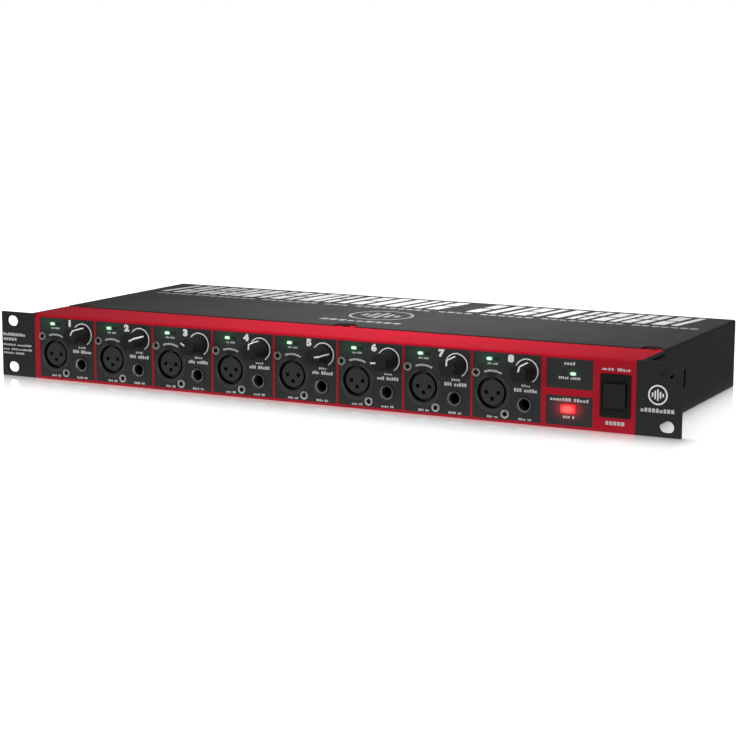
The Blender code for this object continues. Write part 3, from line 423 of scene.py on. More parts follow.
def make_looks():
    """Every finish, under the short name that the pieces use."""
    return {
        "panel": panel_paint(),
        "field": field_ink(),
        "case": case_paint(),
        "white": ink("white_ink", "front_panel_paint", 0.50, mottle=0.08),
        "bright": ink("bright_ink", "front_panel_paint", 0.78),
        "lid_white": ink("lid_ink", "case_paint", 0.55, specular=0.2),
        "dim_white": ink("lid_ink_dim", "case_paint", 0.26, specular=0.2, mottle=0.10),
        "shell": plastic("socket_shell", (0.026, 0.028, 0.029), 0.42, wear=0.25),
        "insert": plastic("socket_insert", (0.027, 0.028, 0.030), 0.5, specular=0.45),
        "black": plastic("black_plastic", (0.010, 0.010, 0.0105), 0.5, wear=0.06),
        "bezel": plastic("bezel_plastic", (0.0055, 0.0070, 0.0068), 0.5, specular=0.3, wear=0.04),
        "cap": plastic("button_plastic", (0.0105, 0.0125, 0.0122), 0.45, specular=0.35, wear=0.05),
        "knob": plastic("knob_plastic", (0.011, 0.011, 0.0115), 0.48, "knob_plastic",
                        specular=0.4, wear=0.05),
        "insulator": plastic("insulator", (0.60, 0.60, 0.56), 0.42),
        "pointer": finish("pointer_ink", "knob_plastic", (0.72, 0.72, 0.71), 0.55, mottle=0.05),
        "steel": metal("screw_nickel", (0.62, 0.62, 0.61), 0.30),
        "dull_steel": metal("screw_black_zinc", (0.20, 0.20, 0.20), 0.40),
        "brass": metal("contact_brass", (0.62, 0.47, 0.24), 0.32),
        "zinc": metal("zinc_plate", (0.50, 0.50, 0.49), 0.42, "zinc"),
        # Near-black, darker than any plastic: painted shade at the floors of the microphone sockets, in the
        # jack bores and in the screw recesses; also the unlit window of the optical input.
        "dark": finish("dark_recess", "connector_plastic", (0.004, 0.004, 0.004), 0.7, specular=0.1),
        "green_lamp": lamp("green_lamp", (0.98, 1.0, 0.95), (0.12, 0.46, 0.20), (1.85, 1.0)),
        "red_lamp": lamp("red_lamp", (1.0, 0.14, 0.12), (0.66, 0.024, 0.026), (4.4, 2.5)),
        "red_off": finish("unlit_lens", "lens", (0.022, 0.020, 0.020), 0.40, specular=0.3, mottle=0.05),
        "board": board_green(),
        "ferrite": finish("ferrite_core", "ferrite", (0.045, 0.045, 0.047), 0.7, grain=600.0, bump=0.2),
        "cable": cable_grey(),
    }


LOOKS = make_looks()


# ---- shapes

# Each face maps (across, up, out) to the frame, as somebody looking straight at it sees it.
FRONT_FACE = Matrix(((1, 0, 0, 0), (0, 0, -1, FACE * MM), (0, 1, 0, 0), (0, 0, 0, 1)))
REAR_FACE = Matrix(((-1, 0, 0, 0), (0, 0, 1, REAR * MM), (0, 1, 0, 0), (0, 0, 0, 1)))
TOP_FACE = Matrix(((1, 0, 0, 0), (0, 1, 0, 0), (0, 0, 1, LID * MM), (0, 0, 0, 1)))
UNDER_FACE = Matrix(((1, 0, 0, 0), (0, -1, 0, 0), (0, 0, -1, 0), (0, 0, 0, 1)))
# A shape made on this one has its own origin on the face, and is placed afterwards.
OWN_FACE = Matrix(((1, 0, 0, 0), (0, 0, -1, 0), (0, 1, 0, 0), (0, 0, 0, 1)))


def lifted(face, out):
    """A face moved outwards."""
    return face @ Matrix.Translation((0, 0, out * MM))


def disc(centre, radius, count=48):
    return [(centre[0] + radius * cos(tau * n / count), centre[1] + radius * sin(tau * n / count))
            for n in range(count)]


def rectangle(centre, width, height, corner=0.0, steps=4):
    """A rectangle, with round corners if asked."""
    half_width = width / 2 - corner
    half_height = height / 2 - corner
    points = []
    for quarter, (right, up) in enumerate(((1, 1), (-1, 1), (-1, -1), (1, -1))):
        for step in range(steps + 1 if corner else 1):
            angle = pi / 2 * (quarter + step / steps)
            x = centre[0] + right * half_width + corner * cos(angle)
            z = centre[1] + up * half_height + corner * sin(angle)
            points.append((x, z))
    return points


def slanted(centre, width, height, slant):
    """A rectangle that leans to the right by slant."""
    x, z = centre
    return [(x - width / 2, z - height / 2), (x + width / 2, z - height / 2),
            (x + width / 2 + slant, z + height / 2), (x - width / 2 + slant, z + height / 2)]


def band(centre, radius, width, start, end, steps=40):
    """Part of a ring, between two angles in degrees."""
    outer = []
    inner = []
    for step in range(steps + 1):
        angle = radians(start + (end - start) * step / steps)
        for points, reach in ((outer, radius + width / 2), (inner, radius - width / 2)):
            points.append((centre[0] + reach * cos(angle), centre[1] + reach * sin(angle)))
    return outer + inner[::-1]


def turned_cross(centre, size, width, angle):
    """A plus sign turned by an angle, for a screw's recess."""
    reach = size / 2
    half = width / 2
    points = []
    for quarter in range(4):
        turn = angle + quarter * pi / 2
        for x, z in ((half, reach), (-half, reach), (-half, half)):
            across = centre[0] + x * cos(turn) - z * sin(turn)
            up = centre[1] + x * sin(turn) + z * cos(turn)
            points.append((across, up))
    return points


def add_object(name, data):
    obj = bpy.data.objects.new(name, data)
    bpy.context.scene.collection.objects.link(obj)
    return obj


def modify(obj, name, kind, **settings):
    """Adds a modifier."""
    made = obj.modifiers.new(name, kind)
    for key, value in settings.items():
        setattr(made, key, value)


def stamp(bm, curve, low, high, face):
    """Adds a flat filled curve to bm, standing out of a face from low to high."""
    curve.extrude = (high - low) / 2 * MM
    obj = add_object("stamp", curve)
    bpy.context.view_layer.update()
    graph = bpy.context.evaluated_depsgraph_get()
    mesh = bpy.data.meshes.new_from_object(obj.evaluated_get(graph))
    mesh.transform(lifted(face, (low + high) / 2))
    bm.from_mesh(mesh)
    bpy.data.objects.remove(obj, do_unlink=True)
    bpy.data.meshes.remove(mesh)
    bpy.data.curves.remove(curve)


def raise_shapes(bm, outlines, low, high, face):
    """Adds closed outlines to bm as one plate. An outline inside another is a hole."""
    curve = bpy.data.curves.new("outline", "CURVE")
    curve.dimensions = "2D"
    curve.fill_mode = "BOTH"
    for points in outlines:
        spline = curve.splines.new("POLY")
        spline.points.add(len(points) - 1)
        for point, (across, up) in zip(spline.points, points):
            point.co = (across * MM, up * MM, 0, 1)
        spline.use_cyclic_u = True
    stamp(bm, curve, low, high, face)


def raise_digit(bm, digit, centre, height, low, high, face, bold=0.11):
    """Adds one numeral to bm, drawn in Blender's own font."""
    cap_height = 0.70
    width_scale = 1.22
    curve = bpy.data.curves.new("digit", "FONT")
    curve.body = str(digit)
    curve.size = height / cap_height * MM
    curve.offset = bold * height * MM
    curve.align_x = "CENTER"
    curve.align_y = "CENTER"
    curve.resolution_u = 6
    spot = Matrix.Translation((centre[0] * MM, centre[1] * MM, 0))
    stamp(bm, curve, low, high, face @ spot @ Matrix.Diagonal((width_scale, 1, 1, 1)))


def raise_dashes(bm, centre, width, height, words, face, seed=0):
    """Rows of small blocks in place of a line of lettering, grouped like words."""
    gap = 0.8
    draw = Random(seed)
    unit = width / (sum(words) + (len(words) - 1) * gap)
    x = centre[0] - width / 2
    outlines = []
    for count in words:
        for _ in range(count):
            wide = unit * draw.uniform(0.66, 0.84)
            tall = height * draw.choice((1.0, 1.0, 0.72))
            drop = (height - tall) / 2
            outlines.append(rectangle((x + unit / 2, centre[1] - drop), wide, tall))
            x += unit
        x += unit * gap
    raise_shapes(bm, outlines, 0.0, INK, face)


def raise_words(bm, lines, face, shift=0.0, seed_shift=0):
    """Adds each line of a table of dashes."""
    for across, up, width, height, words, seed in lines:
        raise_dashes(bm, (across + shift, up), width, height, words, face, seed + seed_shift)


def lathe(bm, profile, steps=56, at=(0, 0)):
    """Adds a closed ring or solid turned about a line along Y. The profile is (radius, forward)."""
    made = bmesh.new()
    verts = [made.verts.new((radius * MM, -forward * MM, 0)) for radius, forward in profile]
    pairs = list(zip(verts, verts[1:]))
    if profile[0][0] > 0 and profile[-1][0] > 0:
        pairs.append((verts[-1], verts[0]))
    edges = [made.edges.new(pair) for pair in pairs]
    bmesh.ops.spin(made, geom=verts + edges, axis=(0, 1, 0), angle=tau, steps=steps, use_merge=True)
    weld(made)
    bmesh.ops.recalc_face_normals(made, faces=made.faces)
    bmesh.ops.translate(made, vec=(at[0] * MM, 0, at[1] * MM), verts=made.verts)
    mesh = bpy.data.meshes.new("lathe")
    made.to_mesh(mesh)
    made.free()
    bm.from_mesh(mesh)
    bpy.data.meshes.remove(mesh)


def turned(name, look, profile, steps=56, spots=((0, 0),)):
    """A mesh of one lathed shape, or of the same one at several spots."""
    bm = bmesh.new()
    for spot in spots:
        lathe(bm, profile, steps, spot)
    return to_mesh(bm, name, look)


def block(bm, low, high):
    """Adds a box between two corners."""
    low = Vector(low) * MM
    high = Vector(high) * MM
    verts = bmesh.ops.create_cube(bm, size=1.0)["verts"]
    bmesh.ops.scale(bm, vec=high - low, verts=verts)
    bmesh.ops.translate(bm, vec=(low + high) / 2, verts=verts)


def weld(bm):
    bmesh.ops.remove_doubles(bm, verts=bm.verts, dist=MERGE_DISTANCE * MM)


def to_mesh(bm, name, look):
    weld(bm)
    mesh = bpy.data.meshes.new(name)
    bm.to_mesh(mesh)
    bm.free()
    mesh.materials.append(LOOKS[look])
    mesh.shade_smooth()
    return mesh


def place(mesh, name=None, body="chassis", at=(0, 0, 0), turn=0.0, edge=0.0, segments=2, replaces=None):
    """Puts a finished mesh in the scene on its body, with softened edges if asked.

    The piece is named after the mesh if it has no name of its own. A node that it replaces is
    shown by this piece alone.
    """
    obj = add_object(name or mesh.name, mesh)
    obj.location = Vector(at) * MM
    obj.rotation_euler = (0, turn, 0)
    if edge:
        soften(obj, edge, segments)
    else:
        mesh.set_sharp_from_angle(angle=SHARP_ANGLE)
    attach(obj, body)
    if replaces:
        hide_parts(replaces)
    return obj


def place_each(spots, y, pieces, replaces):
    """Places (mesh, edge) pairs at each spot, numbered from 1. The first pair stands for the frame's node."""
    for number, spot in enumerate(spots, 1):
        at = (spot.x, y, spot.z)
        shown, *others = pieces
        place(shown[0], f"{shown[0].name}_{number}", at=at, edge=shown[1], replaces=f"{replaces}_{number}")
        for mesh, edge in others:
            place(mesh, f"{mesh.name}_{number}", at=at, edge=edge)


def soften(obj, width, segments=2):
    """Rounds the sharp edges of an object and keeps its flats shaded flat."""
    modify(obj, "soft_edges", "BEVEL", width=width * MM, segments=segments, limit_method="ANGLE",
           angle_limit=SHARP_ANGLE, use_clamp_overlap=True, harden_normals=False)
    modify(obj, "weld_edges", "WELD", merge_threshold=WELD_DISTANCE * MM)
    modify(obj, "flat_shading", "WEIGHTED_NORMAL", keep_sharp=False, weight=100)


# ---- frame parts


def dress(name, look, edge):
    """A finish for a frame node, with its doubled points welded and its edges softened."""
    obj = NODES[name]
    obj.data.materials.clear()
    obj.data.materials.append(LOOKS[look])
    if "custom_normal" in obj.data.attributes:
        obj.data.attributes.remove(obj.data.attributes["custom_normal"])
    for polygon in obj.data.polygons:
        polygon.use_smooth = True
    modify(obj, "weld", "WELD", merge_threshold=WELD_DISTANCE * MM)
    modify(obj, "flat_faces", "DECIMATE", decimate_type="DISSOLVE", angle_limit=radians(0.5))
    fine_edge = 0.1
    soften(obj, edge or fine_edge, 3 if edge else 1)


def dress_frame():
    """Each frame node that stays visible, with its look and the width of its round edges."""
    plan = {
        "front_panel": ("panel", 0.25),
        "base_tray": ("case", 0.2),
        "top_cover": ("case", 0.25),
        "preamp_board": ("board", 0.0),
        "control_board": ("board", 0.0),
        "converter_board": ("board", 0.0),
        "power_supply_board": ("board", 0.0),
        "transformer": ("ferrite", 0.4),
        "ribbon_cable": ("cable", 0.0),
        "power_switch": ("bezel", 0.35),
        "power_button": ("cap", 0.25),
        "phantom_switch": ("black", 0.2),
        "mains_inlet": ("black", 0.3),
        "fuse_drawer": ("cap", 0.25),
        "sync_switch": ("zinc", 0.2),
        "sync_slider": ("black", 0.2),
        "optical_input": ("black", 0.25),
        "optical_output": ("black", 0.25),
    }
    for n in range(CHANNELS):
        plan[f"gain_pot_{n + 1}"] = ("zinc", 0.0)
    for name, (look, edge) in plan.items():
        dress(name, look, edge)


# ---- microphone inputs


def mic_shell():
    """The socket's collar in the panel, its tube and the box of its body behind the panel."""
    lip_height = 0.6
    groove = MIC_HOLE - 0.3
    flange = 13.0
    flange_front = -2.3
    flange_back = -4.5
    tube = MIC_BORE + 1.5
    body_low = (-11.0, 4.6, -12.6)
    body_high = (11.0, 26.0, 12.2)
    shell = bmesh.new()
    lathe(shell, [
        (MIC_BORE, -MIC_DEPTH), (MIC_BORE, 0.15), (MIC_BORE + 0.5, lip_height), (MIC_LIP - 0.5, lip_height),
        (MIC_LIP, 0.25), (MIC_LIP, 0.02), (groove, 0.0), (groove, flange_front), (flange, flange_front),
        (flange, flange_back), (tube, flange_back), (tube, -MIC_DEPTH)])
    block(shell, body_low, body_high)
    return to_mesh(shell, "mic_shell", "shell")


def mic_insert():
    """The insert with its three pin holes, and the key above it."""
    front = -0.8
    key_front = -1.6
    insert = bmesh.new()
    outlines = [disc((0, 0), MIC_INSERT, 64)] + [disc(pin, PIN_HOLE, 24) for pin in PINS]
    raise_shapes(insert, outlines, -MIC_DEPTH, front, OWN_FACE)
    key = rectangle((0, MIC_INSERT + 0.35), width=2.6, height=1.5)
    raise_shapes(insert, [key], -MIC_DEPTH, key_front, OWN_FACE)
    return to_mesh(insert, "mic_insert", "insert")


def mic_sleeves():
    """Three contact sleeves, set back in the pin holes."""
    front = -5.2
    back = -9.0
    outer = PIN_HOLE - 0.05
    inner = PIN_HOLE - 0.30
    profile = [(outer, back), (outer, front), (inner, front), (inner, back)]
    return turned("mic_sleeves", "brass", profile, 20, PINS)


def mic_bottom():
    """Painted shade in the depths of the socket: a near-black floor, and near-black liners on the walls of
    the slot round the insert.
    """
    radius = MIC_BORE + 0.6
    front = -11.2
    back = -11.9
    thick = 0.08
    depths = bmesh.new()
    lathe(depths, [(0, front), (radius, front), (radius, back), (0, back)], 32)
    # Thin liners laid over the walls of the bore and the insert, as painted shade.
    for inner, edge in ((MIC_BORE - 0.06, -0.7), (MIC_INSERT - 0.02, -1.25)):
        lathe(depths, [(inner, front), (inner, edge), (inner + thick, edge), (inner + thick, front)])
    return to_mesh(depths, "mic_bottom", "dark")


def mic_latch():
    """The release tab above the insert."""
    back = -0.5
    front = 0.95
    tab = rectangle((0, 10.55), width=5.2, height=1.7, corner=0.4)
    latch = bmesh.new()
    raise_shapes(latch, [tab], back, front, OWN_FACE)
    return to_mesh(latch, "mic_latch", "black")


def mic_inputs():
    """Sockets for microphone plugs."""
    place_each(MICS, FACE, (
        (mic_shell(), 0.1), (mic_insert(), 0.2), (mic_latch(), 0.15), (mic_sleeves(), 0.0),
        (mic_bottom(), 0.0)), "mic_input")


# ---- line inputs


def jack_collar():
    """The black collar, with its foot behind the panel."""
    inner = 4.3
    front = 0.95
    step = -1.2
    foot = 4.7
    back = -3.5
    return turned("jack_collar", "shell", [
        (inner, step), (inner, 0.75), (inner + 0.3, front), (JACK_RING - 0.3, front), (JACK_RING, 0.55),
        (JACK_RING, 0.02), (foot, 0.0), (foot, back), (JACK_BORE, back), (JACK_BORE, step)])


def jack_ring():
    """The bright countersunk ring and the first stretch of the bore."""
    outer = 4.28
    step = -1.15
    back = -6.0
    wall = JACK_BORE + 0.3
    return turned("jack_ring", "steel", [
        (outer, step), (outer, 0.50), (4.05, 0.58), (3.45, -0.2), (JACK_BORE, -0.9), (JACK_BORE - 0.02, back),
        (wall, back), (wall, step)])


def jack_body():
    """The bore behind, closed at its bottom, in near-black: black plastic darkened further as painted shade
    deep in the bore.
    """
    front = -3.55
    back = -JACK_BORE * 8
    bottom = back + 1.0
    wall = JACK_BORE + 1.3
    return turned("jack_body", "dark", [
        (JACK_BORE, front), (wall, front), (wall, back), (0, back), (0, bottom), (JACK_BORE, bottom)], 32)


def line_inputs():
    """Jack sockets."""
    place_each(JACKS, FACE, ((jack_collar(), 0.12), (jack_ring(), 0.0), (jack_body(), 0.0)), "line_input")


# ---- knobs


def gain_cap():
    """A tapered knob with a collar at its foot and a dished front, on its shaft."""
    shaft = 3.0
    shaft_end = -10.8
    foot_back = 0.6
    return turned("gain_cap", "knob", [
        (0, KNOB_FRONT - 0.25), (3.2, KNOB_FRONT - 0.2), (4.3, KNOB_FRONT), (4.75, KNOB_FRONT), (5.15, 14.82),
        (5.27, 14.4), (5.62, 8.5), (5.88, 3.2), (6.0, 3.0), (KNOB_FOOT, 2.6), (KNOB_FOOT, 0.9),
        (5.9, foot_back), (shaft, foot_back), (shaft, shaft_end), (0, shaft_end)], 72)


def gain_pointer():
    """A white line over a knob's front and down its side, at twelve o'clock, as a sheet."""
    half = 0.55
    lift = 0.06
    across = 4
    front = [(radius, KNOB_FRONT + lift, 0.0) for radius in (1.7, 3.4, 4.75)]
    corner = [(5.15, 14.85 + lift, lift), (5.3, 14.4 + lift, lift)]
    side = [(5.6, 9.0, lift), (5.78, 5.2, lift), (5.92, 2.9, lift)]
    bm = bmesh.new()
    rows = []
    for radius, forward, out in front + corner + side:
        row = []
        for step in range(across + 1):
            x = half * (2 * step / across - 1)
            z = sqrt(radius ** 2 - x ** 2) + out
            row.append(bm.verts.new((x * MM, -forward * MM, z * MM)))
        rows.append(row)
    for first, second in zip(rows, rows[1:]):
        for step in range(across):
            bm.faces.new((first[step], first[step + 1], second[step + 1], second[step]))
    bmesh.ops.recalc_face_normals(bm, faces=bm.faces)
    return to_mesh(bm, "gain_pointer", "pointer")


def gain_knobs():
    """Knobs and their pointer lines, turned to where the photograph shows them."""
    cap = gain_cap()
    pointer = gain_pointer()
    for number, (axis, angle) in enumerate(zip(KNOBS, POINTER_ANGLES), 1):
        body = f"gain_knob_{number}"
        turn = radians(90 - angle)
        at = (axis.x, FACE, axis.z)
        place(cap, f"gain_cap_{number}", body, at, turn, replaces=body)
        line = place(pointer, f"gain_pointer_{number}", body, at, turn)
        modify(line, "thickness", "SOLIDIFY", thickness=0.2 * MM, offset=-1.0)


# ---- lamps and buttons


def lamps():
    """Signal and overload lamps above each socket, and the clock lamp."""
    back = -2.0
    front = 0.35
    lens = bmesh.new()
    raise_shapes(lens, [rectangle((0, 0), *LAMP_SIZE, LAMP_CORNER)], back, front, OWN_FACE)
    lit = to_mesh(lens.copy(), "lamp_lit", "green_lamp")
    unlit = to_mesh(lens, "lamp_unlit", "red_off")
    edge = 0.2
    for number, mic in enumerate(MICS, 1):
        place(lit, f"signal_lamp_{number}", at=(mic.x + SIGNAL_FROM_MIC, FACE, LAMP_Z), edge=edge)
        place(unlit, f"overload_lamp_{number}", at=(mic.x + OVERLOAD_FROM_MIC, FACE, LAMP_Z), edge=edge)
    place(lit, "clock_lamp", at=(CLOCK_LAMP[0], FACE, CLOCK_LAMP[1]), edge=edge)


def phantom_lens():
    """The lit lens cap of the phantom switch, with fine upright ribs."""
    back = -10.0
    front = 1.5
    rib_pitch = 0.72
    rib_height = 3.8
    cap = bmesh.new()
    raise_shapes(cap, [rectangle((0, 0), *LENS_SIZE, LENS_CORNER)], back, front, OWN_FACE)
    for rib in range(-5, 6):
        outline = rectangle((rib * rib_pitch, 0), rib_pitch / 2, rib_height)
        raise_shapes(cap, [outline], front - 0.05, front + 0.25, OWN_FACE)
    button = "phantom_button"
    at = (PHANTOM.x, FACE, PHANTOM.z)
    place(to_mesh(cap, "phantom_lens", "red_lamp"), None, button, at, edge=0.15, replaces=button)


def power_ledge():
    """A ledge just inside the mouth of the power switch's well, which the button slides through."""
    back = -3.0
    front = 0.95
    clear = 0.15
    low, high = corners("power_button")
    centre = (low + high) / 2
    hole = rectangle((centre.x, centre.z), high.x - low.x + 2 * clear, high.z - low.z + 2 * clear)
    well = rectangle((centre.x, WELL_Z), WELL_WIDTH, WELL_HEIGHT)
    ledge = bmesh.new()
    raise_shapes(ledge, [well, hole], back, front, FRONT_FACE)
    place(to_mesh(ledge, "power_ledge", "bezel"), edge=0.1)


# ---- screws


def screw_heads(name, spots, face, radius, height, look="steel", sunk=0.0):
    """Pan-head screws with a cross recess down to a near-black floor of painted shade, each turned its own
    way.
    """
    buried = 0.1
    cross_size = radius * 1.22
    cross_width = radius * 0.56
    floor_radius = radius * 0.62
    floor_height = height * 0.25
    heads = bmesh.new()
    recess_shade = bmesh.new()
    for number, centre in enumerate(spots):
        cross = turned_cross(centre, cross_size, cross_width, angle=0.5 + number * 1.1)
        raise_shapes(heads, [disc(centre, radius, 32), cross], sunk - buried, sunk + height, face)
        # Painted shade: a near-black disc at the bottom of each cross recess.
        floor = disc(centre, floor_radius, 16)
        raise_shapes(recess_shade, [floor], sunk - buried + 0.02, sunk + floor_height, face)
    place(to_mesh(heads, name, look), edge=height * 0.42, segments=3)
    place(to_mesh(recess_shade, name + "_recess", "dark"))


def front_screws():
    """Two screws at each microphone input, up to the left and down to the right."""
    spots = []
    for mic in MICS:
        spots.append((mic.x - 10.3, mic.z + 11.8))
        spots.append((mic.x + 8.8, mic.z - 12.2))
    screw_heads("socket_screws", spots, FRONT_FACE, radius=2.7, height=0.8)


def lid_screws():
    """The three screws that hold the front edge of the lid down on the panel's tongue."""
    tongue = lifted(TOP_FACE, PANEL_TOP - LID - 0.7)
    behind_face = 46.0
    spots = [(x, FACE + behind_face) for x in (-208.0, 0.0, 208.0)]
    screw_heads("lid_screws", spots, tongue, radius=2.9, height=1.1, look="dull_steel")


# ---- printing on the front and the lid


def badge(bm, centre, radius, face, inner=0.84):
    """A plain ring with five level bars inside."""
    bar_pitch = radius * 0.27
    bar_width = radius * 0.15
    raise_shapes(bm, [disc(centre, radius, 64), disc(centre, radius * inner, 64)], 0.0, INK, face)
    for number, tall in enumerate((0.45, 0.85, 1.15, 0.7, 0.35)):
        x = centre[0] + (number - 2) * bar_pitch
        raise_shapes(bm, [rectangle((x, centre[1]), bar_width, radius * tall)], 0.0, INK, face)


def channel_field(n):
    """The black field of one channel, cut out round what passes through it."""
    jack_hole = 5.0
    shaft_hole = 3.8
    mic = MICS[n]
    centre = (mic.x + FIELD_FROM_MIC, (FIELD_HIGH + FIELD_LOW) / 2)
    outlines = [rectangle(centre, FIELD_WIDTH, FIELD_HIGH - FIELD_LOW, corner=0.9)]
    outlines.append(disc((mic.x, mic.z), MIC_HOLE, 64))
    outlines.append(disc((JACKS[n].x, JACK_Z), jack_hole, 32))
    outlines.append(disc((KNOBS[n].x, KNOBS[n].z), shaft_hole, 32))
    for offset in (SIGNAL_FROM_MIC, OVERLOAD_FROM_MIC):
        outlines.append(rectangle((mic.x + offset, LAMP_Z), *LAMP_HOLE, LAMP_CORNER))
    return outlines


def front_fields():
    """The black fields of the channels, the clock and the phantom section."""
    bm = bmesh.new()
    for n in range(CHANNELS):
        raise_shapes(bm, channel_field(n), 0.0, INK, FRONT_FACE)
    lamp_hole = rectangle(CLOCK_LAMP, *LAMP_HOLE, LAMP_CORNER)
    lens_hole = rectangle((PHANTOM.x, PHANTOM.z), *LENS_HOLE, LENS_CORNER)
    for level, hole in ((CLOCK_FIELD_Z, lamp_hole), (PHANTOM_FIELD_Z, lens_hole)):
        field = rectangle((RIGHT_FIELD, level), *RIGHT_FIELD_SIZE, corner=1.0)
        raise_shapes(bm, [field, hole], 0.0, INK, FRONT_FACE)
    place(to_mesh(bm, "front_fields", "field"))


def field_print(plain, bright):
    """What is printed on the black fields: numerals, scale rings, arcs and lines of dashes."""
    low = INK * 0.8
    high = INK * 2
    on_field = lifted(FRONT_FACE, low)
    digit_height = 3.9
    dash = 3.6
    for n, mic in enumerate(MICS):
        scale_ring = band((KNOBS[n].x, KNOBS[n].z), radius=7.3, width=0.75, start=-60, end=240)
        arc = [band((mic.x, mic.z), 13.4, 1.2, start, start + dash, 2) for start in range(63, 113, 5)]
        raise_digit(bright, n + 1, (mic.x + 12.1, 38.9), digit_height, low, high, FRONT_FACE)
        raise_shapes(bright, [scale_ring], low, high, FRONT_FACE)
        raise_shapes(plain, arc, low, high, FRONT_FACE)
        raise_words(plain, CHANNEL_WORDS, on_field, mic.x, n)
    raise_words(plain, FIELD_WORDS, on_field)


def panel_print(plain, bright):
    """What is printed on the paint: marks at the power button, lines on the ears, and a badge."""
    for across, up, width, height in POWER_MARKS:
        raise_shapes(plain, [rectangle((across, up), width, height)], 0.0, INK, FRONT_FACE)
    raise_words(plain, POWER_WORDS, FRONT_FACE)
    for number, (up, end, height, words) in enumerate(EAR_LINES):
        centre = ((EAR_WORDS + end) / 2, up)
        raise_dashes(plain, centre, end - EAR_WORDS, height, words, FRONT_FACE, number)
    badge(bright, EAR_BADGE, 5.9, FRONT_FACE)
    raise_words(plain, [NAME_WORDS], FRONT_FACE)


def front_print():
    """White print of the front. Numerals, rings and the badge are brighter than the rest."""
    plain = bmesh.new()
    bright = bmesh.new()
    field_print(plain, bright)
    panel_print(plain, bright)
    place(to_mesh(plain, "front_print", "white"))
    place(to_mesh(bright, "front_numerals", "bright"))


def lid_bars():
    """A band of leaning white bars on the lid, in place of two large words."""
    bm = bmesh.new()
    draw = Random(4)
    slant = 7.0
    whole_length = 41.0
    whole_depth = 164.0
    narrowest = 6
    whole = ((whole_depth, whole_length),)
    halves = ((174.5, 19.0), (152.5, 18.0))
    for start, end in ((-202.0, 24.0), (45.0, 200.0)):
        x = start
        while x < end - narrowest:
            wide = min(draw.choice((5.0, 6.5, 9.0)), end - x)
            parts = whole if draw.random() < 0.45 else halves
            for depth, length in parts:
                lean = slant * length / whole_length
                shift = slant * (depth - whole_depth) / whole_length - lean / 2
                centre = (x + wide / 2 + shift, FACE + depth)
                raise_shapes(bm, [slanted(centre, wide, length, lean)], 0.0, INK, TOP_FACE)
            x += wide + draw.choice((3.2, 4.4, 5.6))
    place(to_mesh(bm, "lid_print", "lid_white"))


def lid_badge():
    """The fainter print on the lid: a badge between two lines of dashes."""
    bm = bmesh.new()
    raise_words(bm, LID_WORDS, TOP_FACE)
    badge(bm, (0.0, FACE + 98.0), 22.0, TOP_FACE, 0.92)
    place(to_mesh(bm, "lid_badge", "dim_white"))


# ---- rear


def rear_mesh(bm, name, look):
    """Swings a shape that faces the front half round, so that it faces out of the rear wall."""
    bmesh.ops.transform(bm, matrix=Matrix.Rotation(pi, 4, "Z"), verts=bm.verts)
    return to_mesh(bm, name, look)


def output_cup(bottom):
    """A flanged cup with a key at its top, and the box of the body behind the wall."""
    bore = 9.7
    front = 0.9
    flange = 12.7
    neck = 11.8
    back = -17.0
    body_low = (-11.5, 16.9, -17.1)
    body_high = (11.5, 24.0, 12.5)
    cup = bmesh.new()
    lathe(cup, [
        (0, bottom), (bore, bottom), (bore, 0.3), (bore + 0.5, front), (flange - 0.5, front), (flange, 0.5),
        (flange, 0.02), (neck, 0.0), (neck, back), (0, back)], 64)
    block(cup, body_low, body_high)
    key = rectangle((0, bore - 0.2), width=2.2, height=1.6)
    raise_shapes(cup, [key], bottom - 0.1, -1.5, OWN_FACE)
    return rear_mesh(cup, "output_cup", "shell")


def output_pins(bottom):
    """Three round-nosed pins that stand in the cup."""
    radius = 1.2
    foot = bottom - 0.5
    profile = [(0, -1.2), (0.55, -1.3), (1.05, -1.9), (radius, -2.8), (radius, foot), (0, foot)]
    pins = bmesh.new()
    for pin in PINS:
        lathe(pins, profile, 24, pin)
    return rear_mesh(pins, "output_pins", "steel")


def line_outputs():
    """Three-pin plugs in the rear wall."""
    bottom = -13.6
    place_each(OUTPUTS, REAR, ((output_cup(bottom), 0.15), (output_pins(bottom), 0.0)), "line_output")


def clock_barrel(outer, bore):
    """The metal of the coaxial socket: barrel, washer, nut, two bayonet lugs and body."""
    length = 11.5
    back = -1.0
    inside = outer - 0.1
    nut = 7.4
    lug = 1.0 * MM
    body_low = (-7.0, 1.5, -7.0)
    body_high = (7.0, 15.5, 7.0)
    bm = bmesh.new()
    lathe(bm, [
        (bore, back), (bore, length - 0.2), (bore + 0.2, length), (outer - 0.15, length),
        (outer, length - 0.2), (outer, back)])
    lathe(bm, [(inside, 0.02), (nut, 0.02), (nut, 0.4), (inside, 0.4)])
    raise_shapes(bm, [disc((0, 0), nut, 6), disc((0, 0), inside, 48)], 0.45, 2.7, OWN_FACE)
    for side in (-1, 1):
        where = Matrix.Translation((0, -8.5 * MM, side * 5.15 * MM))
        bmesh.ops.create_cone(
            bm, cap_ends=True, segments=24, radius1=lug, radius2=lug, depth=1.2 * MM, matrix=where)
    block(bm, body_low, body_high)
    return rear_mesh(bm, "clock_barrel", "steel")


def clock_insulator(bore):
    """A disc across the bore with a sleeve round the contact."""
    back = -1.3
    front = -0.8
    sleeve = 2.5
    hole = 0.95
    insulator = bmesh.new()
    lathe(insulator, [
        (0, back), (bore, back), (bore, front), (sleeve, front), (sleeve, 6.6), (sleeve - 0.2, 6.8),
        (hole, 6.8), (hole, front), (0, front)], 40)
    return rear_mesh(insulator, "clock_insulator", "insulator")


def clock_contact():
    """The hollow contact in the middle."""
    back = -0.9
    front = 7.2
    contact = bmesh.new()
    lathe(contact, [(0.35, back), (0.35, front), (0.7, front), (0.7, back)], 24)
    return rear_mesh(contact, "clock_contact", "brass")


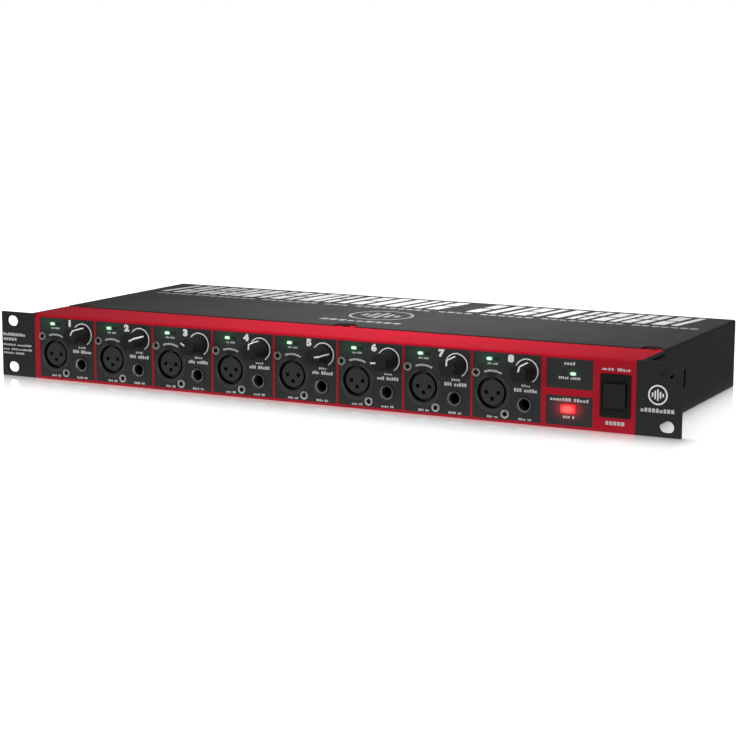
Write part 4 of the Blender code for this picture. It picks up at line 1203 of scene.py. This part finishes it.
def word_clock():
    """Coaxial socket for the clock."""
    at = (CLOCK.x, REAR, CLOCK.z)
    bore = 4.0
    place(clock_barrel(4.8, bore), at=at, edge=0.12, replaces="word_clock_socket")
    place(clock_insulator(bore), at=at)
    place(clock_contact(), at=at)


def inlet_blades():
    """The three bright blades in the mains inlet."""
    socket_x = INLET.x + 8.5
    foot = -14.4
    tip = -0.9
    blades = bmesh.new()
    for spot in ((-7.0, -1.0), (0.0, 3.0), (7.0, -1.0)):
        raise_shapes(blades, [rectangle(spot, width=2.12, height=4.12)], foot, tip, OWN_FACE)
    mesh = rear_mesh(blades, "inlet_blades", "steel")
    place(mesh, at=(socket_x, REAR, INLET.z), edge=0.35, segments=3)


def optical_windows():
    """The light window at the bottom of each optical socket: lit on the output, dark on the input."""
    radius = 1.1
    back = -9.5
    for name, centre, look in (("input", OPTICAL_IN, "dark"), ("output", OPTICAL_OUT, "red_lamp")):
        window = bmesh.new()
        lathe(window, [(0, -6.6), (radius - 0.2, -6.7), (radius, -7.0), (radius, back), (0, back)], 24)
        place(rear_mesh(window, f"optical_window_{name}", look), at=(centre.x, REAR, centre.z))


def rear_screws():
    """Two screws for each output, and a row that holds the lid to the rear wall."""
    spots = []
    for output in OUTPUTS:
        spots.append((-output.x - 9.6, output.z + 12.0))
        spots.append((-output.x + 9.6, output.z - 12.0))
    screw_heads("output_screws", spots, REAR_FACE, radius=2.5, height=0.8)
    row_z = 39.6
    between = (OUTPUTS[0].x + OUTPUTS[1].x) / 2
    row = [(-x, row_z) for x in (-209.0, -117.25, between, 138.0, 209.0)]
    screw_heads("lid_rear_screws", row, REAR_FACE, radius=2.5, height=0.9)


def base_screws():
    """Flush screws under the board pillars."""
    spots = [(x, -FACE - depth) for x in (-205, 144) for depth in (34, 90, 110, 180)]
    spots += [(x, -FACE - depth) for x in (162, 206) for depth in (40, 152)]
    screw_heads("base_screws", spots, UNDER_FACE, radius=2.6, height=0.07, sunk=0.01)


def selector_print(bm):
    """Four numbered marks over the slide selector, and a line of dashes above them."""
    mark_pitch = 3.0
    raise_dashes(bm, (-SELECTOR.x, 34.4), 15.0, 1.5, (4, 4), REAR_FACE, 36)
    for step in range(4):
        x = -SELECTOR.x + (step - 1.5) * mark_pitch
        raise_shapes(bm, [rectangle((x, 28.2), width=0.5, height=2.2)], 0.0, INK, REAR_FACE)
        raise_digit(bm, step + 1, (x, 31.2), 1.7, 0.0, INK, REAR_FACE, 0.06)


def rear_print():
    """White print of the rear: output numerals, selector marks, and dashes in place of words."""
    bm = bmesh.new()
    for n, output in enumerate(OUTPUTS):
        raise_digit(bm, n + 1, (-output.x, 38.6), 3.6, 0.0, INK, REAR_FACE)
        raise_dashes(bm, (-output.x, 6.2), 11.0, 1.4, (5, 3), REAR_FACE, n + 20)
    for number, socket in enumerate((CLOCK, OPTICAL_IN, OPTICAL_OUT)):
        raise_dashes(bm, (-socket.x, 32.4), 12.0, 1.5, (4, 2), REAR_FACE, number + 30)
        raise_dashes(bm, (-socket.x, 11.4), 9.0, 1.3, (5,), REAR_FACE, number + 33)
    selector_print(bm)
    raise_dashes(bm, (-INLET.x, 5.0), 34.0, 1.5, (4, 7, 5), REAR_FACE, 37)
    badge(bm, (-146.0, 13.0), 4.2, REAR_FACE)
    place(to_mesh(bm, "rear_print", "lid_white"))


# ---- stage


def gap_to(tree, value, low, high):
    """How far a value lies outside a span in metres."""
    past = maths(tree, "MAXIMUM", maths(tree, "SUBTRACT", low, value), maths(tree, "SUBTRACT", value, high))
    return maths(tree, "MAXIMUM", past, 0.0)


def foot_fade(tree, axes, half_width, low, high, reach):
    """1 on the floor under a box, falling off round it. The box and the two reaches are in millimetres."""
    across = maths(tree, "DIVIDE", gap_to(tree, axes[0], -half_width * MM, half_width * MM), reach[0] * MM)
    along = maths(tree, "DIVIDE", gap_to(tree, axes[1], low * MM, high * MM), reach[1] * MM)
    squares = maths(tree, "ADD", maths(tree, "POWER", across, 2.0), maths(tree, "POWER", along, 2.0))
    return maths(tree, "EXPONENT", times(tree, maths(tree, "SQRT", squares), -1.0))


def floor_mirror(tree):
    """How much of the floor reflects: most at the foot of the panel, and little far from the object."""
    weakest = 0.08
    gain = 0.77
    fade_in = 6.0
    axes = object_axes(tree)
    ahead = ramp(tree, axes[1], (FACE + fade_in) * MM, FACE * MM)
    panel_foot = foot_fade(tree, axes, EAR_END, FACE, FACE, (8.0, 23.0))
    case_foot = foot_fade(tree, axes, SIDE_WALL, FACE, REAR, (6.0, 6.0))
    near = maths(tree, "MAXIMUM", times(tree, panel_foot, ahead), case_foot)
    return maths(tree, "ADD", weakest, times(tree, near, gain))


def floor_white():
    """White to the camera and a darker grey to other rays, with a reflection near the object."""
    own_light = 0.235
    made = bpy.data.materials.new("studio_white")
    made.use_nodes = True
    tree = made.node_tree
    tree.nodes.remove(tree.nodes["Principled BSDF"])
    path = node(tree, "ShaderNodeLightPath").outputs
    seen = path["Is Camera Ray"]
    bounced = mix(tree, path["Is Glossy Ray"], (0.35, 0.35, 0.35), (0.16, 0.16, 0.16))
    white = mix(tree, seen, bounced, (0.8, 0.8, 0.8))
    diffuse = node(tree, "ShaderNodeBsdfDiffuse", {"Color": white}).outputs[0]
    gloss = node(tree, "ShaderNodeBsdfGlossy", {"Color": (1, 1, 1, 1), "Roughness": 0.05}).outputs[0]
    matte = node(tree, "ShaderNodeMixShader", {0: floor_mirror(tree), 1: diffuse, 2: gloss}).outputs[0]
    strength = times(tree, seen, own_light)
    glow = node(tree, "ShaderNodeEmission", {"Color": (1, 1, 1, 1), "Strength": strength}).outputs[0]
    both = node(tree, "ShaderNodeAddShader", {0: matte, 1: glow}).outputs[0]
    tree.links.new(both, tree.nodes["Material Output"].inputs["Surface"])
    return made


def stage_floor():
    """A pale floor just under the object, as bright as the backdrop behind it."""
    half = 30.0
    drop = 0.1 * MM
    bm = bmesh.new()
    bmesh.ops.create_grid(bm, x_segments=2, y_segments=2, size=half)
    mesh = bpy.data.meshes.new("studio_floor")
    bm.to_mesh(mesh)
    bm.free()
    mesh.materials.append(floor_white())
    floor = add_object("studio_floor", mesh)
    floor.location.z = -drop
    return floor


def stage_world():
    """White to the camera, softer as a source of light."""
    in_mirrors = 0.125
    as_light = 0.18
    world = bpy.data.worlds.new("studio")
    bpy.context.scene.world = world
    world.use_nodes = True
    tree = world.node_tree
    background = tree.nodes["Background"]
    path = node(tree, "ShaderNodeLightPath").outputs
    glossy = times(tree, path["Is Glossy Ray"], in_mirrors)
    diffuse = times(tree, path["Is Diffuse Ray"], as_light)
    strength = maths(tree, "MAXIMUM", maths(tree, "MAXIMUM", glossy, diffuse), path["Is Camera Ray"])
    tree.links.new(strength, background.inputs["Strength"])
    background.inputs["Color"].default_value = (1, 1, 1, 1)


def add_light(name, kind, at, aim, energy, size):
    """A lamp that the camera doesn't see. Its size is (width, height), or the angle of a sun."""
    light = bpy.data.lights.new(name, kind)
    light.energy = energy
    if kind == "AREA":
        light.shape = "RECTANGLE"
        light.size, light.size_y = size
    else:
        light.angle = size
    obj = add_object(name, light)
    obj.location = at
    obj.rotation_euler = (Vector(aim) - Vector(at)).to_track_quat("-Z", "Y").to_euler()
    obj.visible_camera = False
    return obj


def share_light(name, lights, objects, state):
    """Lets lights reach only some objects, or all but those."""
    receivers = bpy.data.collections.new(name)
    for number, obj in enumerate(objects):
        receivers.objects.link(obj)
        receivers.collection_objects[number].light_linking.link_state = state
    for light in lights:
        light.light_linking.receiver_collection = receivers


def stage_lights(floor):
    """A soft lamp over the middle and a low fill in front, a sun for the floor alone, and glints."""
    centre = (0, 0, 0)
    above = Vector((0.032, 0.016, LID * MM + 0.25))
    below = (above.x, above.y, 0)
    over = add_light("over_middle", "AREA", above, below, 1.45, (0.14, 0.14))
    fill = add_light("front_fill", "AREA", (-0.4, -2.2, 0.5), centre, 26.0, (1.6, 0.8))
    sparkle = add_light("sparkle", "AREA", (1.3, -1.5, 0.7), centre, 14.0, (1.0, 0.8))
    dome = add_light("floor_dome", "SUN", (0, 0, 3), centre, 3.85, radians(170))
    over.visible_glossy = False
    fill.visible_glossy = False
    sparkle.visible_diffuse = False
    sheets = [NODES[name] for name in ("front_panel", "top_cover", "base_tray")]
    lid_heads = [bpy.data.objects[name] for name in ("lid_screws", "lid_screws_recess")]
    share_light("floor_only", (dome,), [floor], "INCLUDE")
    share_light("all_but_floor", (over, fill), [floor], "EXCLUDE")
    share_light("small_pieces", (sparkle,), [floor] + sheets + lid_heads, "EXCLUDE")


def stage_camera():
    """The photograph's viewing angle."""
    spot = Vector((0.566765, -1.134157, 0.216734))
    yaw = -0.4694
    pitch = 0.1622
    roll = 0.0028
    forward = Vector((sin(yaw) * cos(pitch), cos(yaw) * cos(pitch), -sin(pitch)))
    level = Vector((cos(yaw), -sin(yaw), 0))
    upright = level.cross(forward)
    right = cos(roll) * level + sin(roll) * upright
    up = cos(roll) * upright - sin(roll) * level
    turn = Matrix((right, up, -forward)).transposed().to_4x4()
    data = bpy.data.cameras.new("camera")
    data.lens = 93.23
    data.sensor_width = 36.0
    data.clip_start = 0.01
    camera = add_object("camera", data)
    camera.matrix_world = Matrix.Translation(spot) @ turn
    bpy.context.scene.camera = camera


dress_frame()
mic_inputs()
line_inputs()
gain_knobs()
lamps()
phantom_lens()
power_ledge()
front_screws()
lid_screws()
front_fields()
front_print()
lid_bars()
lid_badge()
line_outputs()
word_clock()
inlet_blades()
optical_windows()
rear_screws()
base_screws()
rear_print()
stage_world()
stage_lights(stage_floor())
stage_camera()
bpy.context.scene.view_settings.view_transform = "Standard"
